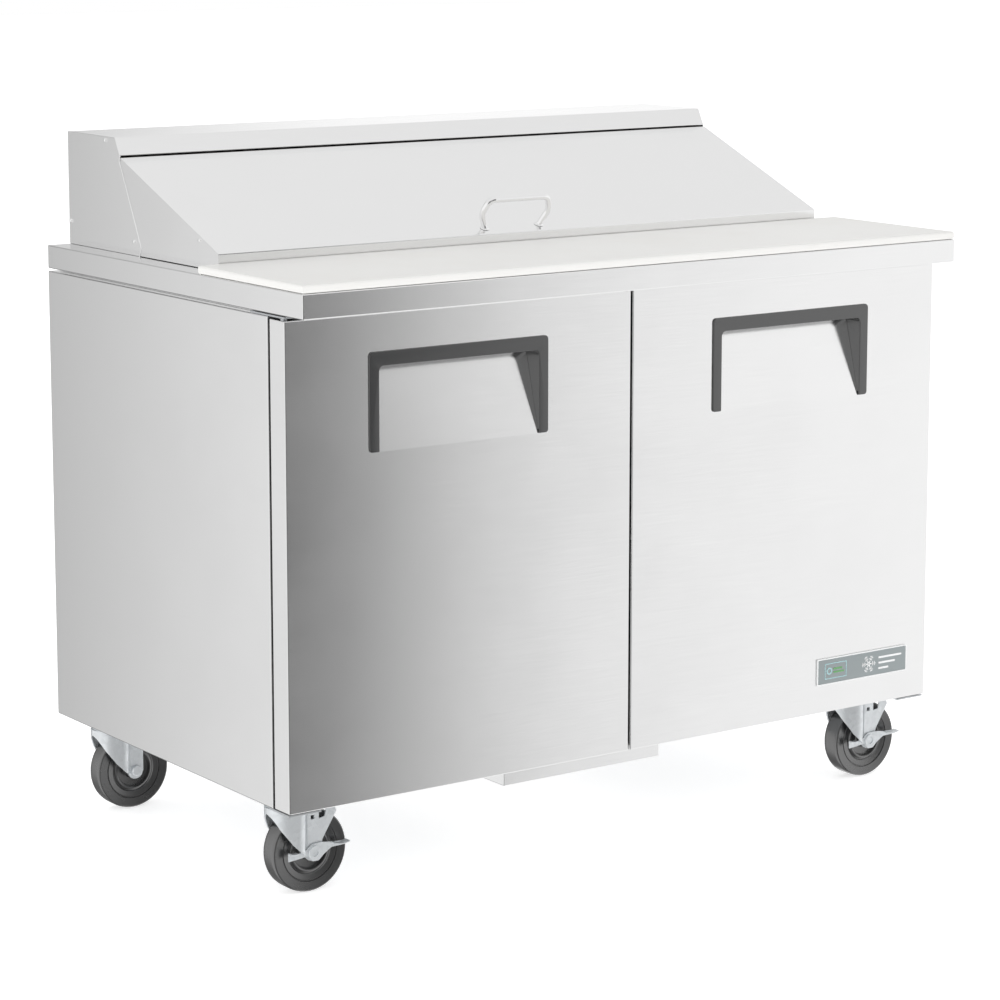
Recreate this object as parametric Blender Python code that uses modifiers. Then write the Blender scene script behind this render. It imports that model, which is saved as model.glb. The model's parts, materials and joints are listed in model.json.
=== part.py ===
"""A two-door refrigerated sandwich prep table: cabinet, pan rail under a hinged lid, and swivel casters.

X runs to the right, Y to the back and Z up. The origin is on the floor under the cabinet's centre.
"""

import math

import bmesh
import bpy
from mathutils import Matrix, Vector

# Driving dimensions, in metres
HALF = 0.6145  # half the cabinet's width
FRONT = -0.383  # front of the counter's band
REAR = 0.383
GAP = 0.0003  # between neighbours that touch
WALL = 0.042  # insulated walls

TOP_Z = 0.914
BAND = 0.0365  # height of the counter's turned-down edge
BOARD_DEPTH = 0.2925
BOARD_THICK = 0.0124

CAB_FRONT = -0.287
CAB_BOTTOM = 0.153
CAB_TOP = 0.873
FLOOR_TOP = CAB_BOTTOM + 0.050
INSIDE = HALF - WALL
MULLION = 0.018  # half the width of the centre post
HEADER_BOTTOM = 0.8275
LINER = 0.0012

DOOR_FRONT = -0.333
DOOR_BACK = -0.292
DOOR_BOTTOM = 0.154
DOOR_TOP = 0.8705
DOOR_EDGE = 0.002  # half the gap between the doors
HINGE_X = HALF - 0.012
HINGE_Y = DOOR_FRONT + 0.021
PIN_RADIUS = 0.005
PIN_DEPTH = 0.012

HANDLE_X = 0.316
HANDLE_HALF = 0.1585
HANDLE_LEG = 0.017
HANDLE_LOW = 0.669
HANDLE_TOP = 0.8155
POCKET_TOP = 0.794
POCKET_DEPTH = 0.032
POCKET_WALL = 0.0032
BADGE_X = (0.3793, 0.5718)
BADGE_Z = (0.2003, 0.2440)

HOOD_HALF = 0.575
HOOD_TOP = 1.092
SHEET = 0.0015
LIP_Y = -0.0845
LIP_TOP = 0.9405
LID_ANGLE = math.radians(22.28)
LID_LENGTH = 0.3185
LID_HINGE = 0.3155  # along the slope from the lip
LID_HINGE_DROP = 0.0035  # below the lid's outer face

RAIL_HALF = 0.5345
RAIL_FRONT = -0.0625
RAIL_REAR = 0.2775
PANS = 6
PAN_PITCH = 0.1765
PAN_RIM = (0.176, 0.325)
PAN_TUB = (0.1595, 0.3085)
PAN_DEPTH = 0.102

STEP_Y = 0.140  # front of the insulated step over the machinery
STEP_Z = 0.450
SHELF_SIZE = (0.546, 0.404)
SHELF_LEVELS = (0.380, 0.580)

CASTER_X = 0.546
CASTER_Y = (-0.226, 0.314)
TRAIL = 0.022
WHEEL_RADIUS = 0.0635
WHEEL_HALF = 0.016
AXLE_RADIUS = 0.005
FORK_LEG = (0.0190, 0.0230)  # inner and outer face, from the wheel's middle
BRAKE_PLATE = 0.002
CROWN_TOP = 0.1397

FAN_BLADES = 5
SIDES = (("left", -1), ("right", 1))

STEEL = ((0.72, 0.72, 0.72), 0.32, 0.9)
DARK_STEEL = ((0.45, 0.46, 0.47), 0.45, 0.8)
GALVANISED = ((0.62, 0.65, 0.67), 0.45, 0.8)
ALUMINIUM = ((0.78, 0.79, 0.80), 0.42, 0.85)
WHITE_PLASTIC = ((0.86, 0.85, 0.82), 0.5, 0.0)
CHARCOAL = ((0.045, 0.046, 0.048), 0.5, 0.0)
RUBBER = ((0.03, 0.03, 0.031), 0.65, 0.0)
CLEAR_PLASTIC = ((0.85, 0.88, 0.88), 0.15, 0.0)
BLACK_PAINT = ((0.02, 0.02, 0.02), 0.4, 0.0)

# Local axes of a flat outline: its two directions in the outline's plane, then its thickness
PLANES = {
    "yz": Matrix(((0, 0, 1, 0), (1, 0, 0, 0), (0, 1, 0, 0), (0, 0, 0, 1))),
    "xz": Matrix(((1, 0, 0, 0), (0, 0, -1, 0), (0, 1, 0, 0), (0, 0, 0, 1))),
    "xy": Matrix.Identity(4),
}


def clear_scene():
    for obj in list(bpy.data.objects):
        bpy.data.objects.remove(obj, do_unlink=True)


def new_collection(name):
    collection = bpy.data.collections.new(name)
    bpy.context.scene.collection.children.link(collection)
    return collection


def make_material(name, look):
    colour, roughness, metallic = look
    material = bpy.data.materials.new(name)
    material.use_nodes = True
    shader = material.node_tree.nodes["Principled BSDF"]
    shader.inputs["Base Color"].default_value = (*colour, 1)
    shader.inputs["Roughness"].default_value = roughness
    shader.inputs["Metallic"].default_value = metallic
    return material


def add_object(name, data, look=None):
    """A part when it has a look, and otherwise a cutter or a piece to be joined."""
    obj = bpy.data.objects.new(name, data)
    if look:
        PARTS.objects.link(obj)
        data.materials.clear()
        data.materials.append(make_material(name, look))
    else:
        CUTTERS.objects.link(obj)
        obj.hide_render = True
        obj.display_type = "WIRE"
    return obj


def bevel(obj, width, segments=2):
    modifier = obj.modifiers.new("edges", "BEVEL")
    modifier.width = width
    modifier.segments = segments
    modifier.limit_method = "ANGLE"
    modifier.angle_limit = math.radians(40)


def boolean(obj, other, operation):
    """Leaves the solver at EXACT, the default."""
    modifier = obj.modifiers.new(other.name, "BOOLEAN")
    modifier.object = other
    modifier.operation = operation


def cut(obj, *cutters):
    for cutter in cutters:
        boolean(obj, cutter, "DIFFERENCE")


def join(obj, *pieces):
    for piece in pieces:
        boolean(obj, piece, "UNION")


def box(name, x, y, z, look=None, edge=0.0):
    """A block between the lowest and highest value of each pair."""
    ends = [sorted(pair) for pair in (x, y, z)]
    mesh = bpy.data.meshes.new(name)
    shape = bmesh.new()
    bmesh.ops.create_cube(shape, size=1)
    bmesh.ops.scale(shape, vec=[high - low for low, high in ends], verts=shape.verts)
    shape.to_mesh(mesh)
    shape.free()
    obj = add_object(name, mesh, look)
    obj.location = [(low + high) / 2 for low, high in ends]
    if edge:
        bevel(obj, edge)
    return obj


def cylinder(name, centre, radius, length, axis="z", look=None, sides=24):
    mesh = bpy.data.meshes.new(name)
    shape = bmesh.new()
    bmesh.ops.create_cone(
        shape, cap_ends=True, segments=sides, radius1=radius, radius2=radius, depth=length
    )
    shape.to_mesh(mesh)
    shape.free()
    smooth(mesh)
    obj = add_object(name, mesh, look)
    obj.location = centre
    turn = {"x": (0, math.pi / 2, 0), "y": (math.pi / 2, 0, 0), "z": (0, 0, 0)}
    obj.rotation_euler = turn[axis]
    return obj


def smooth(mesh):
    mesh.shade_smooth()
    mesh.set_sharp_from_angle(angle=math.radians(35))


def rounded(corners, steps=3):
    """The outline through the corners (x, y, radius), where a radius makes its corner an arc."""
    points = []
    for i, (x, y, radius) in enumerate(corners):
        corner = Vector((x, y))
        if not radius:
            points.append(tuple(corner))
            continue
        before = (Vector(corners[i - 1][:2]) - corner).normalized()
        after = (Vector(corners[(i + 1) % len(corners)][:2]) - corner).normalized()
        half = before.angle(after) / 2
        centre = corner + (before + after).normalized() * radius / math.sin(half)
        start = corner + before * radius / math.tan(half) - centre
        end = corner + after * radius / math.tan(half) - centre
        first = math.atan2(start.y, start.x)
        turn = (math.atan2(end.y, end.x) - first + math.pi) % math.tau - math.pi
        for k in range(steps + 1):
            angle = first + turn * k / steps
            points.append((centre.x + radius * math.cos(angle), centre.y + radius * math.sin(angle)))
    return points


def rectangle(x, y, radius=0.0):
    corners = [(x[0], y[0]), (x[1], y[0]), (x[1], y[1]), (x[0], y[1])]
    return rounded([(*corner, radius) for corner in corners])


def slab(name, plane, outlines, ends, look=None):
    """Flat outlines, the first the rim and the rest holes, made solid between two places on the third axis."""
    curve = bpy.data.curves.new(name, "CURVE")
    curve.dimensions = "2D"
    curve.fill_mode = "BOTH"
    curve.extrude = abs(ends[1] - ends[0]) / 2
    for outline in outlines:
        spline = curve.splines.new("POLY")
        spline.points.add(len(outline) - 1)
        for point, (x, y) in zip(spline.points, outline):
            point.co = (x, y, 0, 1)
        spline.use_cyclic_u = True
    guide = bpy.data.objects.new(name + "_outline", curve)
    PARTS.objects.link(guide)
    middle = (ends[0] + ends[1]) / 2
    offset = {"yz": (middle, 0, 0), "xz": (0, middle, 0), "xy": (0, 0, middle)}[plane]
    guide.matrix_world = Matrix.Translation(offset) @ PLANES[plane]
    bpy.context.view_layer.update()
    mesh = bpy.data.meshes.new_from_object(guide.evaluated_get(bpy.context.evaluated_depsgraph_get()))
    weld(mesh)
    obj = add_object(name, mesh, look)
    obj.matrix_world = guide.matrix_world
    bpy.data.objects.remove(guide, do_unlink=True)
    return obj


def weld(mesh):
    shape = bmesh.new()
    shape.from_mesh(mesh)
    bmesh.ops.remove_doubles(shape, verts=shape.verts, dist=0.00001)
    bmesh.ops.recalc_face_normals(shape, faces=shape.faces)
    shape.to_mesh(mesh)
    shape.free()


def turned(name, profile, look, steps=32, closed=False):
    """A profile of (radius, height) points, top to bottom down its outer side, turned about Z."""
    mesh = bpy.data.meshes.new(name)
    shape = bmesh.new()
    points = [shape.verts.new((radius, 0, height)) for radius, height in profile]
    for first, second in zip(points, points[1:]):
        shape.edges.new((first, second))
    if closed:
        shape.edges.new((points[-1], points[0]))
    shape.to_mesh(mesh)
    shape.free()
    obj = add_object(name, mesh, look)
    screw = obj.modifiers.new("turn", "SCREW")
    screw.steps = screw.render_steps = steps
    screw.use_merge_vertices = True
    screw.merge_threshold = 0.00001
    screw.use_smooth_shade = True
    return obj


def hang_on(name, place, pieces):
    """Puts the pieces of a moving body under an empty on its joint's axis."""
    pivot = bpy.data.objects.new(name, None)
    pivot.location = place
    PARTS.objects.link(pivot)
    for piece in pieces:
        piece.parent = pivot
        piece.matrix_parent_inverse = Matrix.Translation(place).inverted()
    return pivot


def make_counter():
    top = box("countertop", (-HALF, HALF), (FRONT, REAR), (TOP_Z - BAND, TOP_Z), STEEL, 0.0015)
    rim = box("counter_rim", (-0.600, 0.600), (-0.235, 0.370), (CAB_TOP + GAP, TOP_Z - BAND + 0.005))
    x, y = (-RAIL_HALF, RAIL_HALF), (RAIL_FRONT, RAIL_REAR)
    opening = box("pan_opening", x, y, (0.9054, TOP_Z + 0.01))
    ledge = 0.004
    through = box(
        "pan_opening_ledge",
        (x[0] + ledge, x[1] - ledge),
        (y[0] + ledge, y[1] - ledge),
        (CAB_TOP - 0.01, 0.910),
    )
    join(top, rim)
    cut(top, opening, through)


def make_board():
    y = (FRONT, FRONT + BOARD_DEPTH)
    z = (TOP_Z + GAP, TOP_Z + GAP + BOARD_THICK)
    board = box("cutting_board", (-HALF, HALF), y, z, WHITE_PLASTIC, 0.003)
    hang_on("cutting_board_lift", (0, 0, 0), [board])


def make_cabinet():
    for side, sign in SIDES:
        x = (sign * HALF, sign * INSIDE)
        box(f"side_wall_{side}", x, (CAB_FRONT, REAR), (CAB_BOTTOM, CAB_TOP), STEEL, 0.0015)
    between = (-INSIDE + GAP, INSIDE - GAP)
    box("cabinet_floor", between, (CAB_FRONT, STEP_Y + 0.040), (CAB_BOTTOM, FLOOR_TOP), GALVANISED, 0.001)
    back = [
        (REAR, CAB_TOP),
        (REAR - 0.050, CAB_TOP),
        (REAR - 0.050, STEP_Z),
        (STEP_Y, STEP_Z),
        (STEP_Y, FLOOR_TOP + GAP),
        (STEP_Y + 0.040, FLOOR_TOP + GAP),
        (STEP_Y + 0.040, STEP_Z - 0.040),
        (REAR, STEP_Z - 0.040),
    ]
    slab("rear_wall", "yz", [back], between, GALVANISED)
    make_liner()
    make_front_frame()


def make_liner():
    """The thin aluminium skin of the cooled space, open to the front and to the pans above."""
    front, back, low = CAB_FRONT + GAP, STEP_Y - GAP, FLOOR_TOP + GAP
    upper_back, step, top = REAR - 0.050 - GAP, STEP_Z + GAP, CAB_TOP - GAP
    rim = [(front, low), (back, low), (back, step), (upper_back, step), (upper_back, top), (front, top)]
    inner = [
        (front - 0.01, low + LINER),
        (back - LINER, low + LINER),
        (back - LINER, step + LINER),
        (upper_back - LINER, step + LINER),
        (upper_back - LINER, top + 0.01),
        (front - 0.01, top + 0.01),
    ]
    x = INSIDE - GAP
    liner = slab("inner_liner", "yz", [rim], (-x, x), ALUMINIUM)
    cut(liner, slab("liner_space", "yz", [inner], (-x + LINER, x - LINER)))


def make_front_frame():
    x = INSIDE - GAP - LINER - GAP
    low = FLOOR_TOP + LINER + 2 * GAP
    outline = [
        (-x, CAB_TOP),
        (-x, HEADER_BOTTOM),
        (-MULLION, HEADER_BOTTOM),
        (-MULLION, low),
        (MULLION, low),
        (MULLION, HEADER_BOTTOM),
        (x, HEADER_BOTTOM),
        (x, CAB_TOP),
    ]
    slab("front_frame", "xz", [outline], (CAB_FRONT, CAB_FRONT + 0.037), STEEL)


def make_air_duct():
    """The sheet metal channel under the cabinet that brings air to the machinery."""
    half, front, low = 0.1525, -0.213, 0.0935
    high = CAB_BOTTOM - GAP
    duct = box("air_duct", (-half, half), (front, REAR - 0.004), (low, high), STEEL, 0.001)
    wall = 0.002
    hollow = box(
        "air_duct_space", (-half + wall, half - wall), (front + wall, REAR + 0.01), (low + wall, high + 0.01)
    )
    cut(duct, hollow)


def make_machinery():
    deck_y, deck_z = (STEP_Y + 0.040 + GAP, REAR - 0.004), (CAB_BOTTOM, CAB_BOTTOM + 0.004)
    edge = INSIDE - GAP
    air_hole = rectangle((-0.130, 0.130), (0.188, 0.216))
    deck = [rectangle((-edge, edge), deck_y), air_hole]
    slab("machine_deck", "xy", deck, deck_z, GALVANISED)

    dome = [(0, 0.184), (0.030, 0.180), (0.052, 0.166), (0.062, 0.140), (0.062, 0.098)]
    seam = [(0.066, 0.096), (0.066, 0.088), (0.062, 0.086)]
    base = [(0.062, 0.030), (0.050, 0.010), (0.050, 0), (0, 0)]
    compressor = turned("compressor", dome + seam + base, BLACK_PAINT, steps=24)
    compressor.location = (0, 0.290, deck_z[1] + GAP)

    coil_z = (deck_z[1] + GAP, 0.395)
    box("condenser_coil", (-0.400, -0.345), (0.200, 0.355), coil_z, ALUMINIUM, 0.001)
    place = (-0.325, 0.278, 0.280)
    make_fan("condenser_fan", place, "x", 0.070)

    box("evaporator_housing", (-0.24, 0.24), (0.195, 0.3305), (0.4520, 0.7400), ALUMINIUM, 0.003)
    make_fan("evaporator_fan", (0, 0.178, 0.600), "y", 0.062)
    make_rear_grille()


def make_fan(name, place, axis, radius):
    """A hub with pitched blades that run from inside the hub to the tip circle."""
    depth, pitch = 0.018, math.radians(28)
    fan = cylinder(name, place, 0.018, depth, axis, DARK_STEEL, sides=16)
    to_axis = fan.rotation_euler.to_matrix().to_4x4()
    for k in range(FAN_BLADES):
        length = radius - 0.010
        blade = box(f"{name}_blade_{k}", (-length / 2, length / 2), (-0.013, 0.013), (-0.0008, 0.0008))
        spin = Matrix.Rotation(math.tau * k / FAN_BLADES, 4, "Z")
        out = Matrix.Translation((0.010 + length / 2, 0, 0)) @ Matrix.Rotation(pitch, 4, "X")
        blade.matrix_world = Matrix.Translation(place) @ to_axis @ spin @ out
        join(fan, blade)
    hang_on(name + "_spin", place, [fan])


def make_rear_grille():
    """The louvred panel that closes the machine compartment, and the power inlet on it."""
    y = (0.365, 0.367)
    edge, low, high = INSIDE - 0.001, CAB_BOTTOM + 0.005, STEP_Z - 0.041
    outlines = [rectangle((-edge, edge), (low, high))]
    for centre in (-0.30, 0.10):
        for k in range(9):
            z = low + 0.040 + 0.020 * k
            outlines.append(rectangle((centre - 0.120, centre + 0.120), (z, z + 0.007)))
    slab("rear_grille", "xz", outlines, y, GALVANISED)
    box("power_inlet", (0.440, 0.480), (y[1] + GAP, REAR - 0.002), (0.300, 0.330), BLACK_PAINT, 0.002)


def make_door(side, sign):
    edge = (sign * HALF, sign * DOOR_EDGE)
    door = box(f"door_{side}", edge, (DOOR_FRONT, DOOR_BACK), (DOOR_BOTTOM, DOOR_TOP), STEEL, 0.0015)
    cut(door, pocket_cutter(side, sign))
    for end, z in (("top", DOOR_TOP), ("bottom", DOOR_BOTTOM)):
        centre = (sign * HINGE_X, HINGE_Y, z)
        cut(door, cylinder(f"door_{side}_{end}_bush", centre, PIN_RADIUS + 0.0005, 2 * PIN_DEPTH + 0.004))
    trim = make_handle_trim(side, sign)

    x, y = (sign * 0.555, sign * 0.030), (DOOR_BACK + GAP, DOOR_BACK + 0.016)
    panel = box(f"door_{side}_liner", x, y, (0.215, 0.817), WHITE_PLASTIC, 0.002)
    outer, inner = sorted((sign * 0.598, sign * 0.006)), sorted((sign * 0.578, sign * 0.026))
    rings = [rectangle(outer, (0.165, 0.862)), rectangle(inner, (0.185, 0.842))]
    gasket = slab(f"door_{side}_gasket", "xz", rings, (DOOR_BACK + GAP, CAB_FRONT - GAP), CHARCOAL)
    pieces = [door, trim, panel, gasket]
    if side == "right":
        y = (DOOR_FRONT - 0.003, DOOR_FRONT - GAP)
        pieces.append(box("badge", BADGE_X, y, BADGE_Z, ALUMINIUM, 0.0008))
    hang_on(f"door_{side}_swing", (sign * HINGE_X, HINGE_Y, 0), pieces)
    make_door_hinges(side, sign)


def slant(z):
    """Y of the sloping back of the hand pocket at height z."""
    return DOOR_FRONT + POCKET_DEPTH * (z - HANDLE_LOW) / (POCKET_TOP - HANDLE_LOW)


def pocket_cutter(side, sign):
    outer = DOOR_FRONT - 0.012
    top = POCKET_TOP + POCKET_WALL + GAP
    low = HANDLE_LOW - 0.012 * (POCKET_TOP - HANDLE_LOW) / POCKET_DEPTH
    outline = [(outer, low), (slant(top), top), (outer, top)]
    half = HANDLE_HALF - HANDLE_LEG + POCKET_WALL + GAP
    centre = sign * HANDLE_X
    return slab(f"door_{side}_pocket", "yz", [outline], (centre - half, centre + half))


def make_handle_trim(side, sign):
    """An inverted U around the hand pocket, with walls that line the pocket's sides and top."""
    centre = sign * HANDLE_X
    x = (centre - HANDLE_HALF, centre + HANDLE_HALF)
    corner = 0.006
    rim = rectangle(x, (HANDLE_LOW, HANDLE_TOP), corner)
    face = (DOOR_FRONT - 0.0025, DOOR_FRONT - GAP)
    trim = slab(f"door_{side}_handle_trim", "xz", [rim], face, CHARCOAL)

    start, low, top = DOOR_FRONT - 0.0015, HANDLE_LOW + 0.004, POCKET_TOP + POCKET_WALL
    clear = 2 * GAP
    wedge = [(start, low), (slant(low) - clear, low), (slant(top) - clear, top), (start, top)]
    lining = HANDLE_HALF - HANDLE_LEG + POCKET_WALL
    join(trim, slab(f"handle_lining_{side}", "yz", [wedge], (centre - lining, centre + lining)))
    inside = (x[0] + HANDLE_LEG, x[1] - HANDLE_LEG)
    opening = [(inside[0], 0.600, 0), (inside[1], 0.600, 0)]
    opening += [(inside[1], POCKET_TOP, corner), (inside[0], POCKET_TOP, corner)]
    through = (DOOR_FRONT - 0.03, DOOR_FRONT + 0.06)
    cut(trim, slab(f"handle_opening_{side}", "xz", [rounded(opening)], through))
    return trim


def make_door_hinges(side, sign):
    """Plates above and below the door, each with a pin that the door's bush turns on."""
    x = (sign * (HALF - 0.001), sign * (HALF - 0.056))
    thick = 0.0033
    plates = {
        "top": (-0.238, (CAB_TOP + GAP, CAB_TOP + thick), DOOR_TOP - PIN_DEPTH),
        "bottom": (-0.275, (CAB_BOTTOM - thick, CAB_BOTTOM - GAP), DOOR_BOTTOM + PIN_DEPTH),
    }
    for end, (back, z, tip) in plates.items():
        name = f"door_{side}_{end}_hinge"
        plate = box(name, x, (DOOR_FRONT + 0.003, back), z, GALVANISED, 0.0006)
        root = sum(z) / 2
        centre = (sign * HINGE_X, HINGE_Y, (root + tip) / 2)
        join(plate, cylinder(name + "_pin", centre, PIN_RADIUS, abs(tip - root), sides=16))


def on_slope(along, below=0.0):
    """(Y, Z) of a point so far up the lid's slope from its lip, and so far under its outer face."""
    y = LIP_Y + along * math.cos(LID_ANGLE) + below * math.sin(LID_ANGLE)
    return y, LIP_TOP + along * math.sin(LID_ANGLE) - below * math.cos(LID_ANGLE)


def make_lid():
    low = TOP_Z + 0.001
    hinge = on_slope(LID_HINGE, LID_HINGE_DROP)
    rim = [
        (LIP_Y, low + 0.0015, 0),
        (LIP_Y, LIP_TOP, 0.003),
        (*on_slope(LID_LENGTH), 0),
        (*on_slope(LID_LENGTH, 0.0012), 0),
        (hinge[0] + 0.0025, hinge[1] - 0.0025, 0),
        (0.1475, 0.9262, 0),
        (0.1525, low, 0),
        (LIP_Y + 0.002, low, 0),
    ]
    skin = slab("lid_cover", "yz", [rounded(rim)], (-HOOD_HALF, HOOD_HALF), STEEL)
    lip_inside = LIP_Y + 0.0012
    reach = LID_LENGTH + 0.03
    inner = [
        (lip_inside, low - 0.01),
        (lip_inside, on_slope(0.0, 0.0012)[1]),
        on_slope(0.0016, 0.0012),
        on_slope(reach, 0.0012),
        (on_slope(reach)[0], low - 0.01),
    ]
    cut(skin, slab("lid_space", "yz", [inner], (-HOOD_HALF + SHEET, HOOD_HALF - SHEET)))

    layer = [(0.006, 0.0015), (0.300, 0.0015), (0.294, 0.0195), (0.006, 0.0195)]
    layer = [on_slope(along, below) for along, below in layer]
    panel = slab("lid_liner", "yz", [layer], (-0.5645, 0.5645), WHITE_PLASTIC)
    rod = cylinder("lid_hinge_rod", (0, *hinge), 0.0020, 2 * 0.5730, "x", DARK_STEEL, sides=12)
    handle = make_lid_handle()
    hang_on("lid_swing", (0, *hinge), [skin, panel, rod, handle])


def make_lid_handle():
    """A bent wire pull with both feet on the slope."""
    centre, half, rise, radius = -0.035, 0.052, 0.050, 0.004
    foot_y, foot_z = on_slope(0.0175, -GAP)
    path = rounded([(-half, 0, 0), (-half, rise, 0.018), (half, rise, 0.018), (half, 0, 0)], steps=5)
    curve = bpy.data.curves.new("lid_handle", "CURVE")
    curve.dimensions = "3D"
    curve.bevel_depth = radius
    curve.bevel_resolution = 2
    curve.use_fill_caps = True
    spline = curve.splines.new("POLY")
    spline.points.add(len(path) - 1)
    for point, (x, up) in zip(spline.points, path):
        y = foot_y - up * math.sin(LID_ANGLE)
        point.co = (centre + x, y, foot_z + up * math.cos(LID_ANGLE), 1)
    return add_object("lid_handle", curve, STEEL)


def make_hood():
    low = TOP_Z + GAP
    rim = [
        (REAR, low),
        (REAR, HOOD_TOP),
        (0.2276, HOOD_TOP),
        (0.2127, 1.0635),
        (0.2137, 1.0560),
        (0.1485, 0.9270),
        (0.1545, low),
    ]
    hood = slab("hood", "yz", [rim], (-HOOD_HALF, HOOD_HALF), STEEL)
    inner = [
        (REAR - SHEET, low - 0.01),
        (REAR - SHEET, HOOD_TOP - SHEET),
        (0.2285, HOOD_TOP - SHEET),
        (0.2141, 1.0629),
        (0.1000, 1.0629),
        (0.1000, low - 0.01),
    ]
    cut(hood, slab("hood_space", "yz", [inner], (-HOOD_HALF + SHEET, HOOD_HALF - SHEET)))
    y, z = on_slope(LID_HINGE, LID_HINGE_DROP)
    saddle = [
        (y - 0.002, z - 0.0023),
        (y - 0.002, z - 0.014),
        (y + 0.006, z - 0.022),
        (y + 0.022, z - 0.022),
        (y + 0.022, z - 0.0036),
        (y + 0.001, z - 0.0036),
        (y + 0.001, z - 0.0023),
    ]
    for side, sign in SIDES:
        ear = slab(f"hood_ear_{side}", "yz", [saddle], (sign * 0.5660, sign * 0.5731))
        x = (sign * 0.5700, sign * 0.5743)
        spacer = box(f"hood_spacer_{side}", x, (y + 0.010, y + 0.020), (z - 0.020, z - 0.006))
        join(hood, ear, spacer)


def make_pans():
    """The adapter frame in the counter's opening and the food pans that hang in it."""
    middle = (RAIL_FRONT + RAIL_REAR) / 2
    frame_z = (TOP_Z - 0.0083, TOP_Z - GAP)
    edge = RAIL_HALF - GAP
    outlines = [rectangle((-edge, edge), (RAIL_FRONT + GAP, RAIL_REAR - GAP))]
    hole = (PAN_TUB[0] / 2 + 0.002, PAN_TUB[1] / 2 + 0.002)
    for k in range(PANS):
        x = (k - (PANS - 1) / 2) * PAN_PITCH
        outlines.append(rectangle((x - hole[0], x + hole[0]), (middle - hole[1], middle + hole[1])))
        pan = make_pan(f"food_pan_{k + 1}")
        pan.location = (x, middle, TOP_Z + 0.0025)
    slab("pan_frame", "xy", outlines, frame_z, STEEL)


def make_pan(name):
    """A tub without a lid whose top edge turns out into a rim, with its rim at the origin's height."""
    mesh = bpy.data.meshes.new(name)
    shape = bmesh.new()
    bmesh.ops.create_cube(shape, size=1)
    for vert in shape.verts:
        upper = vert.co.z > 0
        vert.co.x *= PAN_TUB[0] * (1.0 if upper else 0.90)
        vert.co.y *= PAN_TUB[1] * (1.0 if upper else 0.945)
        vert.co.z = 0 if upper else -PAN_DEPTH
    top = [face for face in shape.faces if face.normal.z > 0.5]
    rim = list(top[0].edges)
    bmesh.ops.delete(shape, geom=top, context="FACES_ONLY")
    grown = bmesh.ops.extrude_edge_only(shape, edges=rim)["geom"]
    for vert in [item for item in grown if isinstance(item, bmesh.types.BMVert)]:
        vert.co.x = math.copysign(PAN_RIM[0] / 2, vert.co.x)
        vert.co.y = math.copysign(PAN_RIM[1] / 2, vert.co.y)
    bmesh.ops.recalc_face_normals(shape, faces=shape.faces)
    shape.to_mesh(mesh)
    shape.free()
    pan = add_object(name, mesh, CLEAR_PLASTIC)
    wall = pan.modifiers.new("wall", "SOLIDIFY")
    wall.thickness = 0.0022
    wall.offset = 0
    wall.use_even_offset = True
    return pan


def make_shelves():
    """Wire shelves, each a flat grid of bars."""
    wires, bar = 14, 0.004
    front = CAB_FRONT + 0.018
    y = (front, front + SHELF_SIZE[1])
    for side, sign in SIDES:
        centre = sign * (MULLION + 0.0035 + SHELF_SIZE[0] / 2)
        x = (centre - SHELF_SIZE[0] / 2, centre + SHELF_SIZE[0] / 2)
        pitch = (SHELF_SIZE[0] - bar) / wires
        for level, z in zip(("lower", "upper"), SHELF_LEVELS):
            outlines = [rectangle(x, y)]
            for k in range(wires):
                start = x[0] + bar + k * pitch
                for half in ((y[0] + bar, sum(y) / 2 - bar / 2), (sum(y) / 2 + bar / 2, y[1] - bar)):
                    outlines.append(rectangle((start, start + pitch - bar), half))
            slab(f"shelf_{side}_{level}", "xy", outlines, (z, z + 0.006), WHITE_PLASTIC)


def make_caster(place, x, y, braked):
    half, z = 0.045, (CAB_BOTTOM - 0.0043, CAB_BOTTOM - GAP)
    plate = box(
        f"caster_{place}_mount", (x - half, x + half), (y - half, y + half), z, GALVANISED, 0.0008
    )
    join(plate, cylinder(f"caster_{place}_race", (x, y, 0.1455), 0.026, 0.0110))
    fork = make_fork(place, x, y, braked)
    axle_x = x + TRAIL
    wheel = make_wheel(f"caster_{place}_wheel")
    wheel.location = (axle_x, y, WHEEL_RADIUS)
    wheel.rotation_euler = (math.pi / 2, 0, 0)
    swivel = hang_on(f"caster_{place}_swivel", (x, y, 0), [fork])
    movers = [hang_on(f"caster_{place}_roll", (axle_x, y, WHEEL_RADIUS), [wheel])]
    if braked:
        lever = make_brake_lever(place, axle_x, y)
        movers.append(hang_on(f"caster_{place}_brake_press", (axle_x, y, WHEEL_RADIUS), [lever]))
    for mover in movers:
        mover.parent = swivel
        mover.matrix_parent_inverse = Matrix.Translation((x, y, 0)).inverted()


def leg_outline(x):
    """The side view of a fork leg: wide at the crown, and round under the axle."""
    axle = Vector((x + TRAIL, WHEEL_RADIUS))
    top = CROWN_TOP - 0.006
    radius = 0.014
    start, pull = Vector((x - 0.042, top)), Vector((x - 0.016, 0.104))
    end = Vector((axle.x - radius, axle.y))
    points = [(x + 0.036, top)]
    for k in range(6):
        t = k / 5
        points.append(tuple(start * (1 - t) ** 2 + pull * 2 * t * (1 - t) + end * t**2))
    for k in range(1, 8):
        angle = math.pi + math.pi * k / 7
        points.append((axle.x + radius * math.cos(angle), axle.y + radius * math.sin(angle)))
    return points


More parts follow.
